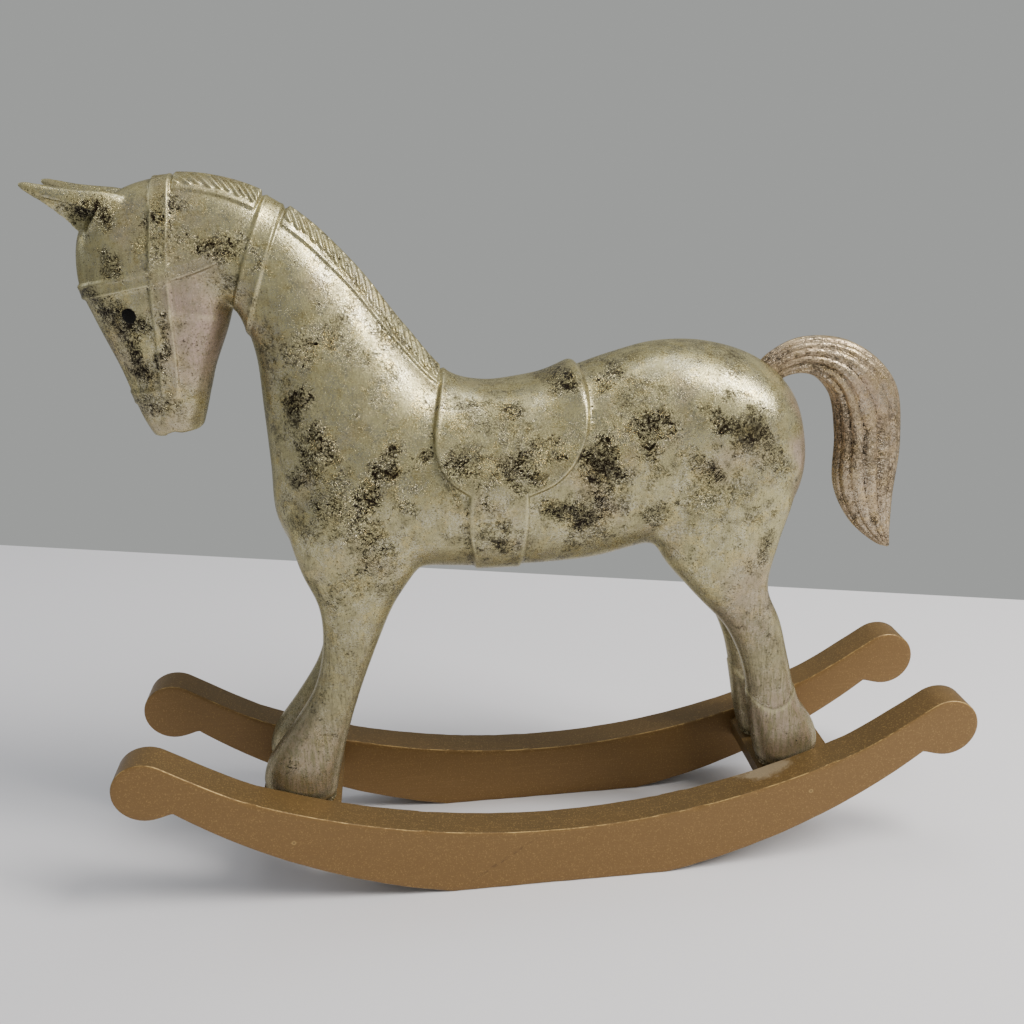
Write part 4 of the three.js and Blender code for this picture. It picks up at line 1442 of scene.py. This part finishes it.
    def build(self, frame: Underframe, shift: float, lift: float) -> None:
        """Makes and dresses the horse.

        Args:
            frame: What it stands on.
            shift: From the drawing's middle to the model's, in mm.
            lift: From the drawing's floor to the model's, in mm.
        """
        horse = self.block(frame)
        self.carve(horse, frame, shift, lift)
        triangles = sum(len(p.vertices) - 2 for p in horse.data.polygons)
        if triangles > self.triangles:
            apply_modifier(horse, "DECIMATE", ratio=self.triangles / triangles)
        horse.vertex_groups.clear()
        store(horse, "hollow", np.clip(hollowness(horse, 4) * 5.0, -1.0, 1.0))
        drawn = places(horse) - (shift, 0.0, lift)
        store(horse, "bare", patched(self.rubbed, drawn))
        store(horse, "fresh", patched(self.rosy, drawn))
        only(horse)
        bpy.ops.object.shade_smooth()
        dress(horse, self.paint.build(shift))
        hand_over(horse, "horse_paint", "horse")


# Studio


@dataclass
class Studio:
    """A plain pale floor, soft lamps and the camera."""

    floor: ClothFloor = ClothFloor()
    # The camera as it was fitted to the rockers: place in mm, and turns in degrees.
    eye: tuple[float, float, float] = (-57.371, -459.581, 342.636)
    yaw: float = 5.343
    pitch: float = 20.113
    roll: float = -1.654
    lens: float = 37.696
    floor_size: tuple[float, float] = (4.0, 2.4)  # metres
    wall: str = "#c6c8c6"
    wall_light: float = 0.66
    wall_foot: tuple[float, float] = (-0.308, 336.0)  # the floor's back edge: slope, and y at its middle
    # Each lamp: place in metres; width and height; watts; colour. They are aimed at the horse.
    aim: tuple[float, float, float] = (0.0, 0.0, 0.17)
    lamps: tuple[tuple[Sizes, Sizes, float, str], ...] = (
        ((0.78, -0.43, 1.11), (0.34, 1.0), 30.0, "#fffaf2"),
        ((-0.95, 0.35, 0.75), (0.6, 0.7), 2.0, "#eef4ff"),
        ((0.2, 0.15, 1.4), (0.6, 0.6), 4.0, "#ffffff"),
    )

    def build_camera(self, shift: float) -> None:
        """Makes the camera and lets the scene look through it.

        Args:
            shift: From the drawing's middle to the model's, in mm.
        """
        yaw, pitch, roll = (math.radians(a) for a in (self.yaw, self.pitch, self.roll))
        ahead = Vector((math.sin(yaw) * math.cos(pitch), math.cos(yaw) * math.cos(pitch), -math.sin(pitch)))
        level = Vector((math.cos(yaw), -math.sin(yaw), 0.0))
        over = level.cross(ahead)
        right = math.cos(roll) * level + math.sin(roll) * over
        up = -math.sin(roll) * level + math.cos(roll) * over
        data = bpy.data.cameras.new("camera")
        data.lens, data.sensor_width = self.lens, 36.0
        data.clip_start = 0.01
        data.dof.use_dof = False
        camera = bpy.data.objects.new("camera", data)
        turn = Matrix((right, up, -ahead)).transposed().to_4x4()
        camera.matrix_world = Matrix.Translation(Vector(self.eye) * MM + Vector((shift * MM, 0, 0))) @ turn
        bpy.context.scene.collection.objects.link(camera)
        bpy.context.scene.camera = camera

    def build(self, shift: float) -> None:
        """Makes floor, lamps, world and camera.

        Args:
            shift: From the drawing's middle to the model's, in mm.
        """
        bpy.ops.object.select_all(action="DESELECT")
        bpy.ops.mesh.primitive_plane_add(size=1.0)
        floor = bpy.context.object
        floor.name = floor.data.name = "floor"
        edit(floor, (bpy.ops.transform.resize, {"value": (*self.floor_size, 1.0)}),
             (bpy.ops.transform.translate, {"value": (0.0, -self.floor_size[1] / 2, 0.0)}))
        points = places(floor)
        slope, back = self.wall_foot
        points[:, 1] += back + slope * points[:, 0] * (points[:, 1] > -1.0)
        move_to(floor, points)
        dress(floor, self.floor.build())
        for number, (place, size, watts, colour) in enumerate(self.lamps):
            data = bpy.data.lights.new(f"lamp_{number}", "AREA")
            data.shape, data.size, data.size_y = "RECTANGLE", *size
            data.energy, data.color = watts, linear(colour)[:3]
            lamp = bpy.data.objects.new(data.name, data)
            aim = Vector(self.aim) - Vector(place)
            lamp.matrix_world = Matrix.Translation(place) @ aim.to_track_quat("-Z", "Y").to_matrix().to_4x4()
            bpy.context.scene.collection.objects.link(lamp)
        world = bpy.data.worlds.new("pale_room")
        world.use_nodes = True
        background = next(n for n in world.node_tree.nodes if n.type == "BACKGROUND")
        background.inputs["Color"].default_value = linear(self.wall)
        background.inputs["Strength"].default_value = self.wall_light
        bpy.context.scene.world = world
        self.build_camera(shift)


def main() -> None:
    """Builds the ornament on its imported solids."""
    logging.basicConfig(level=logging.INFO, format="%(message)s")
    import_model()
    low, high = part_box("rocker_left")
    shift = (low[0] + high[0]) / 2 / MM
    frame = Underframe(shift=shift)
    lift = frame.bar_z - DRAWN_BAR_Z
    frame.build()
    Horse().build(frame, shift, lift)
    Tail().build(shift, lift)
    Studio().build(shift)


if __name__ == "__main__":
    main()
